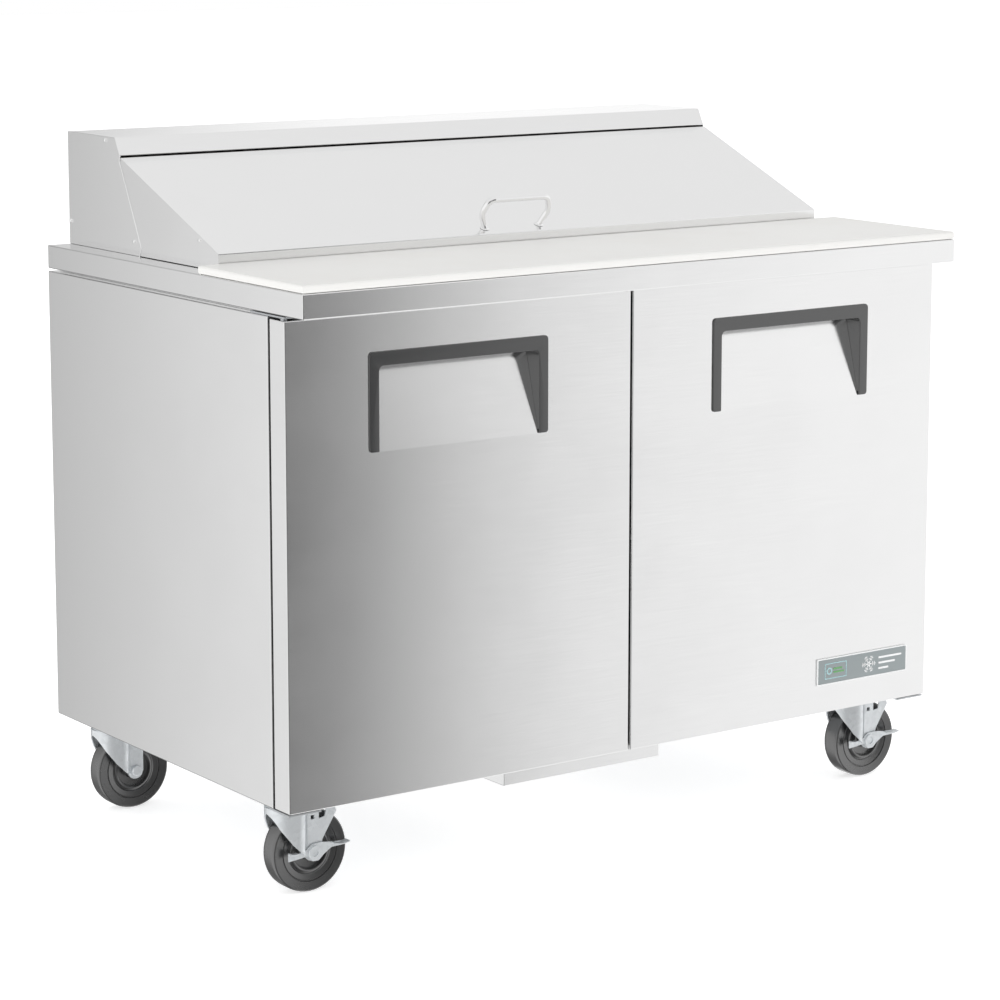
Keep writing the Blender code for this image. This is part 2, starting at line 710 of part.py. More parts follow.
def make_fork(place, x, y, braked):
    name = f"caster_{place}_fork"
    fork = cylinder(name, (x, y, CROWN_TOP - 0.0035), 0.040, 0.0070, "z", GALVANISED, sides=28)
    crown_z = (CROWN_TOP - 0.009, CROWN_TOP - 0.003)
    crown = box(name + "_crown", (x - 0.0425, x + 0.0365), (y - 0.0235, y + 0.0235), crown_z)
    axle_place = (x + TRAIL, y, WHEEL_RADIUS)
    axle = cylinder(name + "_axle", axle_place, AXLE_RADIUS, 0.052, "y", sides=16)
    pieces = [crown]
    for sign in (-1, 1):
        ends = (y + sign * FORK_LEG[0], y + sign * FORK_LEG[1])
        pieces.append(slab(f"{name}_leg_{sign}", "xz", [leg_outline(x)], ends))
    pieces.append(axle)
    if braked:
        pieces.append(brake_plate(name, x, y))
    join(fork, *pieces)
    return fork


def brake_plate(name, x, y):
    """The V-shaped plate on the outer leg, with a square hole and a notch-shaped one."""
    low = WHEEL_RADIUS - 0.008
    corners = [
        (0.016, low, 0.004),
        (0.034, low + 0.004, 0.004),
        (0.040, low + 0.024, 0.003),
        (0.060, 0.117, 0.003),
        (0.054, 0.1275, 0.003),
        (0.016, 0.1275, 0),
    ]
    rim = rounded([(x + across, z, radius) for across, z, radius in corners])
    square = rectangle((x + 0.024, x + 0.029), (0.112, 0.117))
    notch = [(x + 0.034, 0.112), (x + 0.041, 0.114), (x + 0.044, 0.123), (x + 0.034, 0.124)]
    leg = y - FORK_LEG[1]
    return slab(name + "_brake_plate", "xz", [rim, square, notch], (leg - BRAKE_PLATE, leg + 0.001))


def make_brake_lever(place, x, y):
    """A stamped lever round the axle: a flared arm one way and a short tab the other."""
    z = WHEEL_RADIUS
    corners = [
        (-0.036, -0.006, 0),
        (-0.010, -0.004, 0.003),
        (0.001, -0.017, 0.005),
        (0.012, -0.012, 0.004),
        (0.028, 0.002, 0.006),
        (0.054, 0.006, 0),
        (0.058, 0.012, 0),
        (0.040, 0.016, 0.006),
        (0.014, 0.012, 0.006),
        (-0.010, 0.010, 0.006),
        (-0.016, 0.001, 0.004),
        (-0.036, 0.004, 0),
    ]
    rim = rounded([(x + across, z + up, radius) for across, up, radius in corners])
    bore_radius = AXLE_RADIUS + 0.0007
    angles = [math.tau * k / 12 for k in range(12)]
    bore = [(x + bore_radius * math.cos(angle), z + bore_radius * math.sin(angle)) for angle in angles]
    outer = y - FORK_LEG[1] - BRAKE_PLATE - GAP
    return slab(f"caster_{place}_brake_lever", "xz", [rim, bore], (outer - 0.0022, outer), GALVANISED)


def make_wheel(name):
    half = WHEEL_HALF
    side = [
        (AXLE_RADIUS + 0.0005, 0.0180),
        (0.0130, 0.0180),
        (0.0150, 0.0115),
        (0.0360, 0.0115),
        (0.0385, half - 0.0005),
        (0.0600, half),
        (WHEEL_RADIUS, half - 0.0045),
    ]
    profile = side + [(radius, -height) for radius, height in reversed(side)]
    return turned(name, profile, RUBBER, steps=32, closed=True)


def make_casters():
    front, rear = CASTER_Y
    for side, sign in SIDES:
        make_caster(f"front_{side}", sign * CASTER_X, front, True)
        make_caster(f"rear_{side}", sign * CASTER_X, rear, False)


clear_scene()
PARTS = new_collection("sandwich_prep_table")
CUTTERS = new_collection("cutters")
CUTTERS.hide_render = True
make_counter()
make_board()
make_cabinet()
make_air_duct()
make_machinery()
for door_side, door_sign in SIDES:
    make_door(door_side, door_sign)
make_hood()
make_lid()
make_pans()
make_shelves()
make_casters()
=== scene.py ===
"""The looks of a two-door sandwich prep table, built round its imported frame.

Lengths are in metres. X runs to the right, Y to the back and Z up, as in the frame.
"""

import json
import math

import bmesh
import bpy
from mathutils import Matrix, Vector


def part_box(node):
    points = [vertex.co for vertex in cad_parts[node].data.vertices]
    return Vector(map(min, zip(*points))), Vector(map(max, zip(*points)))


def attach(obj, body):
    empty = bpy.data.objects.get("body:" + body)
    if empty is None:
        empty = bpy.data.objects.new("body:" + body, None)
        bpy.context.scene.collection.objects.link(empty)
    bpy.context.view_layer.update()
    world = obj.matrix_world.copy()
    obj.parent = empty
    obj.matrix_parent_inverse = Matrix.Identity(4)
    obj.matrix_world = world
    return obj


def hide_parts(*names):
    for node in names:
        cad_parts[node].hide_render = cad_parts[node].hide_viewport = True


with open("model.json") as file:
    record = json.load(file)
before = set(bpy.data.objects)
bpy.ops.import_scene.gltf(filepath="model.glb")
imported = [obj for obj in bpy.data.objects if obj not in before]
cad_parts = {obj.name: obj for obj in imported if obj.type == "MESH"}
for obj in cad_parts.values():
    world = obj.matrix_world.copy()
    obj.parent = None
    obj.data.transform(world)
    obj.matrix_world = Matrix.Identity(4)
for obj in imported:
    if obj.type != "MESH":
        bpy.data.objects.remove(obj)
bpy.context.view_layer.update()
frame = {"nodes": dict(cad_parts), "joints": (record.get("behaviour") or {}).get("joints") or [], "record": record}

SIDES = (("left", -1), ("right", 1))
JOINTS = {joint["name"]: joint for joint in frame["joints"]}
SLOT_OF = {part["node"]: part["material_slot"] for part in frame["record"]["subparts"]}

# Local axes of a flat outline: its two directions, then its thickness
PLANES = {
    "yz": Matrix(((0, 0, 1, 0), (1, 0, 0, 0), (0, 1, 0, 0), (0, 0, 0, 1))),
    "xz": Matrix(((1, 0, 0, 0), (0, 0, -1, 0), (0, 1, 0, 0), (0, 0, 0, 1))),
    "xy": Matrix.Identity(4),
}
# Turns the Z axis of a turned shape onto another axis
TO_AXIS = {
    "x": Matrix.Rotation(math.pi / 2, 4, "Y"),
    "y": Matrix.Rotation(math.pi / 2, 4, "X"),
    "-y": Matrix.Rotation(-math.pi / 2, 4, "X"),
    "z": Matrix.Identity(4),
}
UPSIDE_DOWN = Matrix.Rotation(math.pi, 4, "X")

CAMERA_PLACE = (-2.9244, -4.1317, 1.4686)
CAMERA_AZIMUTH = 35.204
CAMERA_PITCH = 9.085
CAMERA_LENS = 114.9
CAMERA_SHIFT = -0.1

LID_ANGLE = math.radians(22.28)
# The lid's outer face meets its lip so far above the counter
LID_LIP_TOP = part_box("countertop")[1].z + 0.0265

# Faces that meet at a sharper angle than this keep a hard edge
SHARP_ANGLE = math.radians(32)


# ---------------------------------------------------------------- materials


# Every finish by its name
LOOKS = {}


def add_node(tree, kind, inputs=(), **settings):
    """A shader node with its settings, whose inputs are values or the sockets that feed them."""
    node = tree.nodes.new(kind)
    for key, value in settings.items():
        setattr(node, key, value)
    for socket, value in dict(inputs).items():
        if isinstance(value, bpy.types.NodeSocket):
            tree.links.new(value, node.inputs[socket])
        else:
            node.inputs[socket].default_value = value
    return node


class Look:
    """A material on a Principled BSDF, whose pattern is read from object coordinates."""

    def __init__(self, name, colour, roughness, metallic=0.0, **sockets):
        material = bpy.data.materials.new(name)
        material.use_nodes = True
        LOOKS[name] = material
        self.tree = material.node_tree
        self.shader = self.tree.nodes["Principled BSDF"]
        self.shader.inputs["Base Color"].default_value = (*colour, 1)
        self.shader.inputs["Roughness"].default_value = roughness
        self.shader.inputs["Metallic"].default_value = metallic
        for socket, value in sockets.items():
            self.shader.inputs[socket.replace("_", " ")].default_value = value
        self.place = self.add("ShaderNodeTexCoord").outputs["Object"]

    def add(self, kind, inputs=(), **settings):
        return add_node(self.tree, kind, inputs, **settings)

    def math(self, operation, first, second=0.0):
        return self.add("ShaderNodeMath", {0: first, 1: second}, operation=operation).outputs[0]

    def noise(self, scale, detail=3.0, roughness=0.55, stretch=(1, 1, 1)):
        spot = self.add("ShaderNodeMapping", {"Vector": self.place, "Scale": stretch}).outputs[0]
        values = {"Vector": spot, "Scale": scale, "Detail": detail, "Roughness": roughness}
        return self.add("ShaderNodeTexNoise", values).outputs["Fac"]

    def spread(self, value, low, high, start=0.0, end=1.0):
        limits = {"Value": value, 1: low, 2: high, 3: start, 4: end}
        return self.add("ShaderNodeMapRange", limits).outputs[0]

    def half_and_half(self, first, second):
        halves = [self.math("MULTIPLY", pattern, 0.5) for pattern in (first, second)]
        return self.math("ADD", *halves)

    def sideways(self):
        """1 on faces that look along X, and 0 on the rest."""
        normal = self.add("ShaderNodeTexCoord").outputs["Normal"]
        x = self.add("ShaderNodeSeparateXYZ", {0: normal}).outputs[0]
        return self.spread(self.math("ABSOLUTE", x), 0.6, 0.8)

    def blend(self, factor, first, second):
        return self.add("ShaderNodeMix", {0: factor, 2: first, 3: second}, data_type="FLOAT").outputs[0]

    def tint(self, factor, other):
        """The base colour runs to another one with the factor."""
        colour = self.shader.inputs["Base Color"]
        before = colour.links[0].from_socket if colour.is_linked else colour.default_value
        mix = self.add("ShaderNodeMix", {0: factor, 6: before, 7: (*other, 1)}, data_type="RGBA")
        self.tree.links.new(mix.outputs[2], colour)

    def rough(self, factor, low, high):
        value = self.spread(factor, 0.25, 0.75, low, high)
        self.tree.links.new(value, self.shader.inputs["Roughness"])

    def bump(self, height, strength, distance=0.0005):
        values = {"Height": height, "Strength": strength, "Distance": distance}
        before = self.shader.inputs["Normal"]
        if before.is_linked:
            values["Normal"] = before.links[0].from_socket
        self.tree.links.new(self.add("ShaderNodeBump", values).outputs[0], before)


def scaled(colour, factor):
    return [min(1, value * factor) for value in colour]


def brushed(name, colour, low, high, strength=0.06):
    """Sheet metal with a brushed grain, along X, or along Y on the sides."""
    look = Look(name, colour, low, 1.0)
    along_x = look.noise(1, 4, 0.6, (14, 1100, 1100))
    along_y = look.noise(1, 4, 0.6, (1100, 14, 1100))
    grain = look.blend(look.sideways(), along_x, along_y)
    clouds = look.noise(7, 3)
    look.rough(look.half_and_half(grain, clouds), low, high)
    look.tint(look.spread(grain, 0.3, 0.7, 0.0, 0.5), scaled(colour, 0.955))
    look.tint(look.spread(clouds, 0.45, 0.75, 0.0, 0.35), scaled(colour, 0.97))
    look.bump(grain, strength, 0.0003)


def spangled(name, colour, low, high, metallic=1.0):
    """Zinc on steel: soft crystal patches."""
    look = Look(name, colour, low, metallic)
    cells = look.add("ShaderNodeTexVoronoi", {"Vector": look.place, "Scale": 130.0}).outputs["Color"]
    patch = look.add("ShaderNodeSeparateColor", {0: cells}).outputs[0]
    fine = look.noise(900, 2)
    look.rough(look.half_and_half(patch, fine), low, high)
    look.tint(look.spread(patch, 0.0, 1.0, 0.0, 0.7), scaled(colour, 0.86))
    look.bump(fine, 0.05, 0.0003)


def moulded(name, colour, low, high, grain=1400, strength=0.12, **sockets):
    """Plastic or rubber with a fine leathery grain and faint dust."""
    look = Look(name, colour, low, **sockets)
    fine = look.noise(grain, 2)
    clouds = look.noise(22, 4)
    look.rough(clouds, low, high)
    look.tint(look.spread(clouds, 0.45, 0.8, 0.0, 0.5), scaled(colour, 1.25))
    look.bump(fine, strength, 0.0004)


def board_plastic():
    """White cutting-board plastic: a pebbled face with knife marks too fine to see from afar."""
    look = Look("white_board", (0.88, 0.875, 0.855), 0.42)
    clouds = look.noise(6, 4)
    cuts = look.spread(look.noise(1, 2, 0.5, (18, 900, 40)), 0.62, 0.72)
    look.tint(look.spread(clouds, 0.5, 0.8, 0.0, 0.35), (0.84, 0.825, 0.79))
    look.tint(look.math("MULTIPLY", cuts, 0.12), (0.7, 0.69, 0.66))
    look.rough(clouds, 0.36, 0.5)
    look.bump(look.noise(1800, 2), 0.1, 0.0003)
    look.bump(cuts, -0.1, 0.0002)


def clear_plastic():
    look = Look("clear_plastic", (0.92, 0.95, 0.95), 0.12, Transmission_Weight=0.85, IOR=1.45)
    look.rough(look.noise(30, 4), 0.08, 0.22)
    look.bump(look.noise(500, 2), 0.04, 0.0003)


def copper():
    look = Look("copper", (0.8, 0.42, 0.27), 0.3, 1.0)
    stain = look.noise(45, 4)
    look.tint(look.spread(stain, 0.45, 0.7, 0.0, 0.8), (0.42, 0.2, 0.13))
    look.rough(stain, 0.25, 0.5)
    look.bump(look.noise(500, 2), 0.05)


def floor_finish():
    """A pale floor that hardly shows its own shading."""
    look = Look("floor", (0.93, 0.93, 0.93), 0.9, Emission_Strength=0.62, Emission_Color=(1, 1, 1, 1))
    look.tint(look.spread(look.noise(2, 2), 0.4, 0.6, 0.0, 0.2), (0.92, 0.92, 0.92))


CHARCOAL_COAT = {"Coat_Weight": 1.0, "Coat_IOR": 1.85, "Coat_Roughness": 0.14}
RUBBER_COAT = {"IOR": 1.7, "Coat_Weight": 1.0, "Coat_IOR": 2.0, "Coat_Roughness": 0.27}
brushed("stainless", (0.93, 0.93, 0.93), 0.13, 0.18)
brushed("polished", (0.93, 0.93, 0.93), 0.05, 0.08, 0.015)
brushed("aluminium", (0.84, 0.85, 0.86), 0.32, 0.46)
brushed("badge_plate", (0.5, 0.55, 0.56), 0.34, 0.44)
spangled("galvanised", (0.7, 0.72, 0.74), 0.3, 0.48)
spangled("zinc", (0.83, 0.86, 0.88), 0.3, 0.46, 0.55)
board_plastic()
clear_plastic()
copper()
moulded("white_plastic", (0.83, 0.83, 0.81), 0.3, 0.42, 700, 0.05)
moulded("charcoal_plastic", (0.01, 0.0105, 0.011), 0.3, 0.4, **CHARCOAL_COAT)
moulded("gasket", (0.028, 0.028, 0.029), 0.5, 0.66, 900)
moulded("wheel_rubber", (0.012, 0.012, 0.0125), 0.24, 0.36, 700, **RUBBER_COAT)
moulded("black_paint", (0.014, 0.014, 0.015), 0.3, 0.42, 500, 0.08)
moulded("black_plastic", (0.022, 0.022, 0.023), 0.34, 0.46, 1000)
moulded("coated_wire", (0.84, 0.84, 0.83), 0.26, 0.38, 500, 0.05)
moulded("badge_pale", (0.9, 0.91, 0.91), 0.25, 0.35, 900, 0.03)
moulded("badge_green", (0.16, 0.4, 0.16), 0.3, 0.4, 900, 0.03)
moulded("badge_blue", (0.42, 0.66, 0.68), 0.3, 0.4, 900, 0.03)
floor_finish()


# ---------------------------------------------------------------- shapes


def spaced(first, last, count):
    """So many values, evenly spaced from the first to the last."""
    return [first + (last - first) * k / (count - 1) for k in range(count)]


def rounded(corners, steps=6):
    """The outline through the corners (x, y, radius), where a radius makes its corner an arc."""
    points = []
    for i, (x, y, radius) in enumerate(corners):
        corner = Vector((x, y))
        if not radius:
            points.append(tuple(corner))
            continue
        before = (Vector(corners[i - 1][:2]) - corner).normalized()
        after = (Vector(corners[(i + 1) % len(corners)][:2]) - corner).normalized()
        half = before.angle(after) / 2
        centre = corner + (before + after).normalized() * radius / math.sin(half)
        start = corner + before * radius / math.tan(half) - centre
        end = corner + after * radius / math.tan(half) - centre
        first = math.atan2(start.y, start.x)
        turn = (math.atan2(end.y, end.x) - first + math.pi) % math.tau - math.pi
        for angle in spaced(first, first + turn, steps + 1):
            points.append((centre.x + radius * math.cos(angle), centre.y + radius * math.sin(angle)))
    return points


def rectangle(x, y, radius=0.0, steps=6):
    corners = [(x[0], y[0]), (x[1], y[0]), (x[1], y[1]), (x[0], y[1])]
    return rounded([(*corner, radius) for corner in corners], steps)


def outline_of(box, inset=0.0, radius=0.0, axes="xz"):
    """The rectangle of a box along two of its axes, drawn in by the inset."""
    low, high = box
    return rectangle(*((getattr(low, axis) + inset, getattr(high, axis) - inset) for axis in axes), radius)


def circle(x, y, radius, steps=24):
    angles = [math.tau * k / steps for k in range(steps)]
    return [(x + radius * math.cos(angle), y + radius * math.sin(angle)) for angle in angles]


def bent(corners, steps=7):
    """The path through corners (x, y, z, radius), whose radius makes each inner corner a smooth bend."""
    points = [Vector(corners[0][:3])]
    for before, here, after in zip(corners, corners[1:], corners[2:]):
        corner = Vector(here[:3])
        back = (Vector(before[:3]) - corner).normalized() * here[3]
        on = (Vector(after[:3]) - corner).normalized() * here[3]
        for t in spaced(0.0, 1.0, steps):
            points.append(corner + back * (1 - t) ** 2 + on * t**2)
    points.append(Vector(corners[-1][:3]))
    return points


def to_mesh(part):
    mesh = bpy.data.meshes.new("part")
    part.to_mesh(mesh)
    part.free()
    return mesh


def add_object(name, data):
    obj = bpy.data.objects.new(name, data)
    bpy.context.scene.collection.objects.link(obj)
    return obj


def applied(obj, *helpers):
    """The mesh that an object shows with its modifiers. The object and its helpers are removed."""
    bpy.context.view_layer.update()
    mesh = bpy.data.meshes.new_from_object(obj.evaluated_get(bpy.context.evaluated_depsgraph_get()))
    for used in (obj, *helpers):
        bpy.data.objects.remove(used, do_unlink=True)
    return mesh


def lofted(rings, around=True, along=False, caps=False):
    """Faces between rings of points. They close around each ring, along the rings, or over both ends."""
    part = bmesh.new()
    rows = [[part.verts.new(point) for point in ring] for ring in rings]
    count = len(rows[0])
    for row, after in zip(rows, rows[1:] + rows[:1] if along else rows[1:]):
        for i in range(count if around else count - 1):
            j = (i + 1) % count
            part.faces.new((row[i], row[j], after[j], after[i]))
    if caps:
        part.faces.new(rows[0])
        part.faces.new(rows[-1])
    bmesh.ops.recalc_face_normals(part, faces=part.faces)
    return part


class Shape:
    """Solids gathered in one mesh, in the frame's own coordinates."""

    def __init__(self):
        self.shape = bmesh.new()

    def take(self, part, place=None):
        """Adds a mesh or a bmesh, moved to a place, and uses it up."""
        mesh = part if isinstance(part, bpy.types.Mesh) else to_mesh(part)
        before = len(self.shape.verts)
        self.shape.from_mesh(mesh)
        self.shape.verts.ensure_lookup_table()
        if place is not None:
            bmesh.ops.transform(self.shape, matrix=place, verts=self.shape.verts[before:])
        bpy.data.meshes.remove(mesh)
        return self

    def block(self, x, y, z, edge=0.0, segments=2, place=None):
        part = bmesh.new()
        ends = [sorted(pair) for pair in (x, y, z)]
        bmesh.ops.create_cube(part, size=1)
        bmesh.ops.scale(part, vec=[high - low for low, high in ends], verts=part.verts)
        bmesh.ops.translate(part, vec=[(low + high) / 2 for low, high in ends], verts=part.verts)
        if edge:
            bmesh.ops.bevel(
                part, geom=part.edges[:], offset=edge, segments=segments, profile=0.5, affect="EDGES"
            )
        return self.take(part, place)

    def turned(self, profile, place=(0, 0, 0), axis="z", steps=32, closed=False):
        """A profile of (radius, height) points turned about an axis through the place."""
        angles = [math.tau * k / steps for k in range(steps)]
        rings = [[(r * math.cos(angle), r * math.sin(angle), z) for r, z in profile] for angle in angles]
        part = lofted(rings, around=closed, along=True)
        bmesh.ops.remove_doubles(part, verts=part.verts, dist=0.000001)
        bmesh.ops.dissolve_degenerate(part, edges=part.edges, dist=0.0000005)
        bmesh.ops.recalc_face_normals(part, faces=part.faces)
        return self.take(part, Matrix.Translation(place) @ TO_AXIS[axis])

    def tube(self, points, radius, sides=10, closed=False):
        return self.sweep(points, circle(0, 0, radius, sides), closed)

    def sweep(self, points, section, closed=False):
        """A closed section carried along a path without twisting."""
        points = [Vector(point) for point in points]
        count = len(points)
        rings, side = [], None
        for k, point in enumerate(points):
            before = points[k - 1] if closed or k else point
            after = points[(k + 1) % count] if closed or k < count - 1 else point
            first, second = (point - before).normalized(), (after - point).normalized()
            forward = (first + second).normalized()
            if side is None:
                side = forward.orthogonal().normalized()
                if abs(forward.z) < 0.99:
                    side = Vector((0, 0, 1)).cross(forward).normalized()
            side = (side - side.dot(forward) * forward).normalized()
            up = forward.cross(side)
            widen = 1.0
            if first.length and second.length:
                widen = 1 / max(0.5, math.cos(first.angle(second) / 2))
            bend = second - first
            out = bend.normalized() if bend.length > 1e-6 else Vector()
            offsets = [side * a + up * b for a, b in section]
            rings.append([point + offset + out * offset.dot(out) * (widen - 1) for offset in offsets])
        return self.take(lofted(rings, along=closed, caps=not closed))

    def plate(self, outlines, plane, ends, edge=0.0, place=None):
        """Flat outlines, the first the rim and the rest holes, between two places on the third axis."""
        curve = bpy.data.curves.new("outline", "CURVE")
        curve.dimensions = "2D"
        curve.fill_mode = "BOTH"
        curve.extrude = abs(ends[1] - ends[0]) / 2 - edge
        curve.bevel_depth = edge
        curve.bevel_resolution = 2
        curve.offset = -edge
        for outline in outlines:
            spline = curve.splines.new("POLY")
            spline.points.add(len(outline) - 1)
            for point, (x, y) in zip(spline.points, outline):
                point.co = (x, y, 0, 1)
            spline.use_cyclic_u = True
        mesh = applied(add_object("outline", curve))
        part = bmesh.new()
        part.from_mesh(mesh)
        bpy.data.meshes.remove(mesh)
        bmesh.ops.remove_doubles(part, verts=part.verts, dist=0.000005)
        bmesh.ops.recalc_face_normals(part, faces=part.faces)
        middle = (ends[0] + ends[1]) / 2
        offset = {"yz": (middle, 0, 0), "xz": (0, middle, 0), "xy": (0, 0, middle)}[plane]
        onto = Matrix.Translation(offset) @ PLANES[plane]
        return self.take(part, onto if place is None else place @ onto)

    def done(self, name, body, slot, *nodes, look=None):
        """The finished piece, which rides on a body and may stand for some CAD nodes."""
        mesh = to_mesh(self.shape)
        mesh.name = name
        mesh.shade_smooth()
        mesh.set_sharp_from_angle(angle=SHARP_ANGLE)
        mesh.materials.append(LOOKS[look or slot])
        obj = add_object(name, mesh)
        flat = obj.modifiers.new("flat faces", "WEIGHTED_NORMAL")
        flat.keep_sharp, flat.weight = True, 100
        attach(obj, body)
        if nodes:
            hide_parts(*nodes)


def thickened(part, thickness, edge):
    """The solid that an open sheet makes, half its thickness on each side, with its edges eased."""
    obj = add_object("sheet", to_mesh(part))
    wall = obj.modifiers.new("wall", "SOLIDIFY")
    wall.thickness, wall.offset = thickness, 0
    edges = obj.modifiers.new("edges", "BEVEL")
    edges.width, edges.segments, edges.angle_limit = edge, 2, math.radians(50)
    return applied(obj)


def pierced(mesh, cutter):
    """The mesh with the cutter's shape taken out of it."""
    body, tool = add_object("pierced", mesh), add_object("cutter", to_mesh(cutter))
    cut = body.modifiers.new("cut", "BOOLEAN")
    cut.operation, cut.object, cut.solver = "DIFFERENCE", tool, "EXACT"
    return applied(body, tool)


def middle(node):
    low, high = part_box(node)
    return (low + high) / 2


def on_slope(along, below=0.0):
    """(Y, Z) of a point so far up the lid's slope from its lip, and so far under its outer face."""
    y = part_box("lid_cover")[0].y + along * math.cos(LID_ANGLE) + below * math.sin(LID_ANGLE)
    return y, LID_LIP_TOP + along * math.sin(LID_ANGLE) - below * math.cos(LID_ANGLE)


# ---------------------------------------------------------------- casters


# A fork's legs end in half rounds, stand so far from its middle, and its skirt reaches so far out
FORK_END = 0.014
FORK_LEG_Y = 0.0212
SKIRT_X, SKIRT_Y = 0.042, 0.03
# Lower edge of a fork's skirt, from its front to its axle: X behind the swivel axis, and height
SKIRT_SWEEP = ((-0.042, 0.126), (-0.031, 0.1035), (-0.0146, 0.08), (0.0, 0.0655), (0.009, 0.0585))


def wheel_profile(radius, half):
    """One side of the wheel from its bore out to the tread: hub, web, ridge, groove and side band."""
    hub = [(0.0056, -0.0018), (0.0118, -0.0018), (0.0128, -0.0008), (0.0134, 0.006), (0.015, 0.0078)]
    ridge = [(0.0265, 0.0072), (0.0285, 0.0052), (0.0296, 0.0014), (0.031, 0.0008), (0.0325, 0.0012)]
    groove = [(0.0338, 0.0036), (0.0352, 0.004), (0.037, 0.0024), (0.0452, 0.0014), (0.046, 0.0026)]
    band = [(0.047, 0.0026), (0.0478, 0.001), (radius - 0.003, 0.0001), (radius - 0.0014, 0.001)]
    band += [(radius - 0.0004, 0.003), (radius, 0.0065)]
    return [(reach, half - inset) for reach, inset in hub + ridge + groove + band]


def make_wheel(place):
    low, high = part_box(f"caster_{place}_wheel")
    side = wheel_profile((high.z - low.z) / 2, 0.016)
    profile = side + [(reach, -height) for reach, height in reversed(side)]
    wheel = Shape().turned(profile, JOINTS[place + "_roll"]["pos_m"], "y", 72, closed=True)
    wheel.done(f"wheel_{place}", place + "_wheel", "wheel_rubber", f"caster_{place}_wheel")


def skirt_bottom(x, axle_x, axle_z):
    """Height of the fork's lower edge at x behind the swivel axis: it sweeps up from the axle."""
    if x >= axle_x - FORK_END * 0.93:
        return axle_z - math.sqrt(max(0.0, FORK_END**2 - (x - axle_x) ** 2))
    for (x0, z0), (x1, z1) in zip(SKIRT_SWEEP, SKIRT_SWEEP[1:]):
        if x <= x1:
            return z0 + (z1 - z0) * (x - x0) / (x1 - x0)
    return SKIRT_SWEEP[-1][1]


def fork_plan():
    """Half the fork's outline from above, from the front of the skirt to the back of the leg."""
    turn = spaced(0.0, math.pi / 2, 15)
    points = [(-SKIRT_X * math.cos(angle), SKIRT_Y * math.sin(angle)) for angle in turn]
    points += [(0.0035, 0.0292), (0.0062, 0.0262), (0.008, 0.0232), (0.0098, FORK_LEG_Y + 0.0004)]
    points += [(x, FORK_LEG_Y) for x in spaced(0.012, 0.033, 8)]
    return [*points, (0.022 + FORK_END, FORK_LEG_Y)]


def make_fork(place, braked):
    """A pressed fork: a round skirt under the crown that folds into a flat leg on each side."""
    swivel, axle = (Vector(JOINTS[f"{place}_{turn}"]["pos_m"]) for turn in ("swivel", "roll"))
    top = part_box(f"caster_{place}_fork")[1].z
    plan = fork_plan()
    columns = []
    for x, y in [(x, -y) for x, y in reversed(plan)] + plan[1:]:
        heights = spaced(skirt_bottom(x, axle.x - swivel.x, axle.z), top - 0.004, 15)
        columns.append([(swivel.x + x, swivel.y + y, z) for z in heights])
    mesh = thickened(lofted(columns, around=False), 0.0026, 0.0006)
    if braked:
        for outline in brake_holes(swivel.x):
            cutter = Shape().plate([outline], "xz", (swivel.y - 0.034, swivel.y - 0.016))
            mesh = pierced(mesh, cutter.shape)
    fork = Shape().take(mesh)

    crown = [(0.0, 0.0002), (0.009, 0.0002), (0.011, 0.0016), (0.027, 0.0016), (0.03, 0.0003)]
    crown += [(0.0385, 0.0003), (0.04, 0.0014), (0.0402, 0.004), (0.0392, 0.0052), (0.0, 0.0052)]
    fork.turned([(reach, top - drop) for reach, drop in crown], (swivel.x, swivel.y, 0), steps=48)
    bridge_x, bridge_y = (swivel.x - 0.02, swivel.x + 0.0358), (swivel.y - 0.0224, swivel.y + 0.0224)
    fork.block(bridge_x, bridge_y, (top - 0.0075, top - 0.0035), 0.0008)
    rib = [(-0.0125, axle.z + 0.004), (-0.0085, axle.z + 0.002)]
    rib += [(-0.0085, top - 0.009), (-0.0125, top - 0.009)]
    rib = rounded([(axle.x + x, z, 0.001) for x, z in rib], 3)
    for _, sign in SIDES:
        y = swivel.y + sign * (FORK_LEG_Y + 0.0012)
        fork.plate([rib], "xz", (y, y + sign * 0.0008), 0.0003)
    nut = 0.0262 if braked else 0.0285
    bolt = [(0, 0.028), (0.007, 0.028), (0.0085, 0.0268), (0.0085, 0.0225), (0.005, 0.0225)]
    bolt += [(0.005, -0.0225), (0.0085, -0.0225), (0.0085, 0.0008 - nut), (0.0072, -nut), (0, -nut)]
    fork.turned(bolt, axle, "y", 24)
    if braked:
        add_brake_plate(fork, swivel, axle)
    fork.done(f"fork_{place}", place + "_caster", "zinc", f"caster_{place}_fork")


def brake_holes(x):
    """The square hole and the notch near the top of the brake plate, for a swivel axis at x."""
    square = rectangle((x + 0.0185, x + 0.0245), (0.1135, 0.1195), 0.0004, 2)
    notch = [(x + 0.0325, 0.113), (x + 0.0425, 0.1146), (x + 0.0455, 0.1258), (x + 0.0325, 0.127)]
    return square, notch


def add_brake_plate(fork, swivel, axle):
    """The stamped V on the outer leg, with a square hole, a notch and a folded top."""
    x, y, low = swivel.x, swivel.y - FORK_LEG_Y - 0.0012, axle.z - 0.006
    corners = [(0.012, low, 0.004), (0.033, low + 0.003, 0.005), (0.039, low + 0.024, 0.01)]
    corners += [(0.0635, 0.1205, 0.003), (0.06, 0.1285, 0.003), (0.05, 0.1345, 0.004), (0.012, 0.135, 0.002)]
    rim = rounded([(x + across, z, radius) for across, z, radius in corners], 4)
    fork.plate([rim, *brake_holes(x)], "xz", (y - 0.0018, y + 0.0002), 0.0004)
    line = ((0.046, 0.1342), (0.0535, 0.1318), (0.0615, 0.1262))
    fold = [(x + across, y + 0.0035, z) for across, z in line]
    fork.sweep(fold, rectangle((-0.0045, 0.0045), (-0.0008, 0.0008), 0.0005, 2))


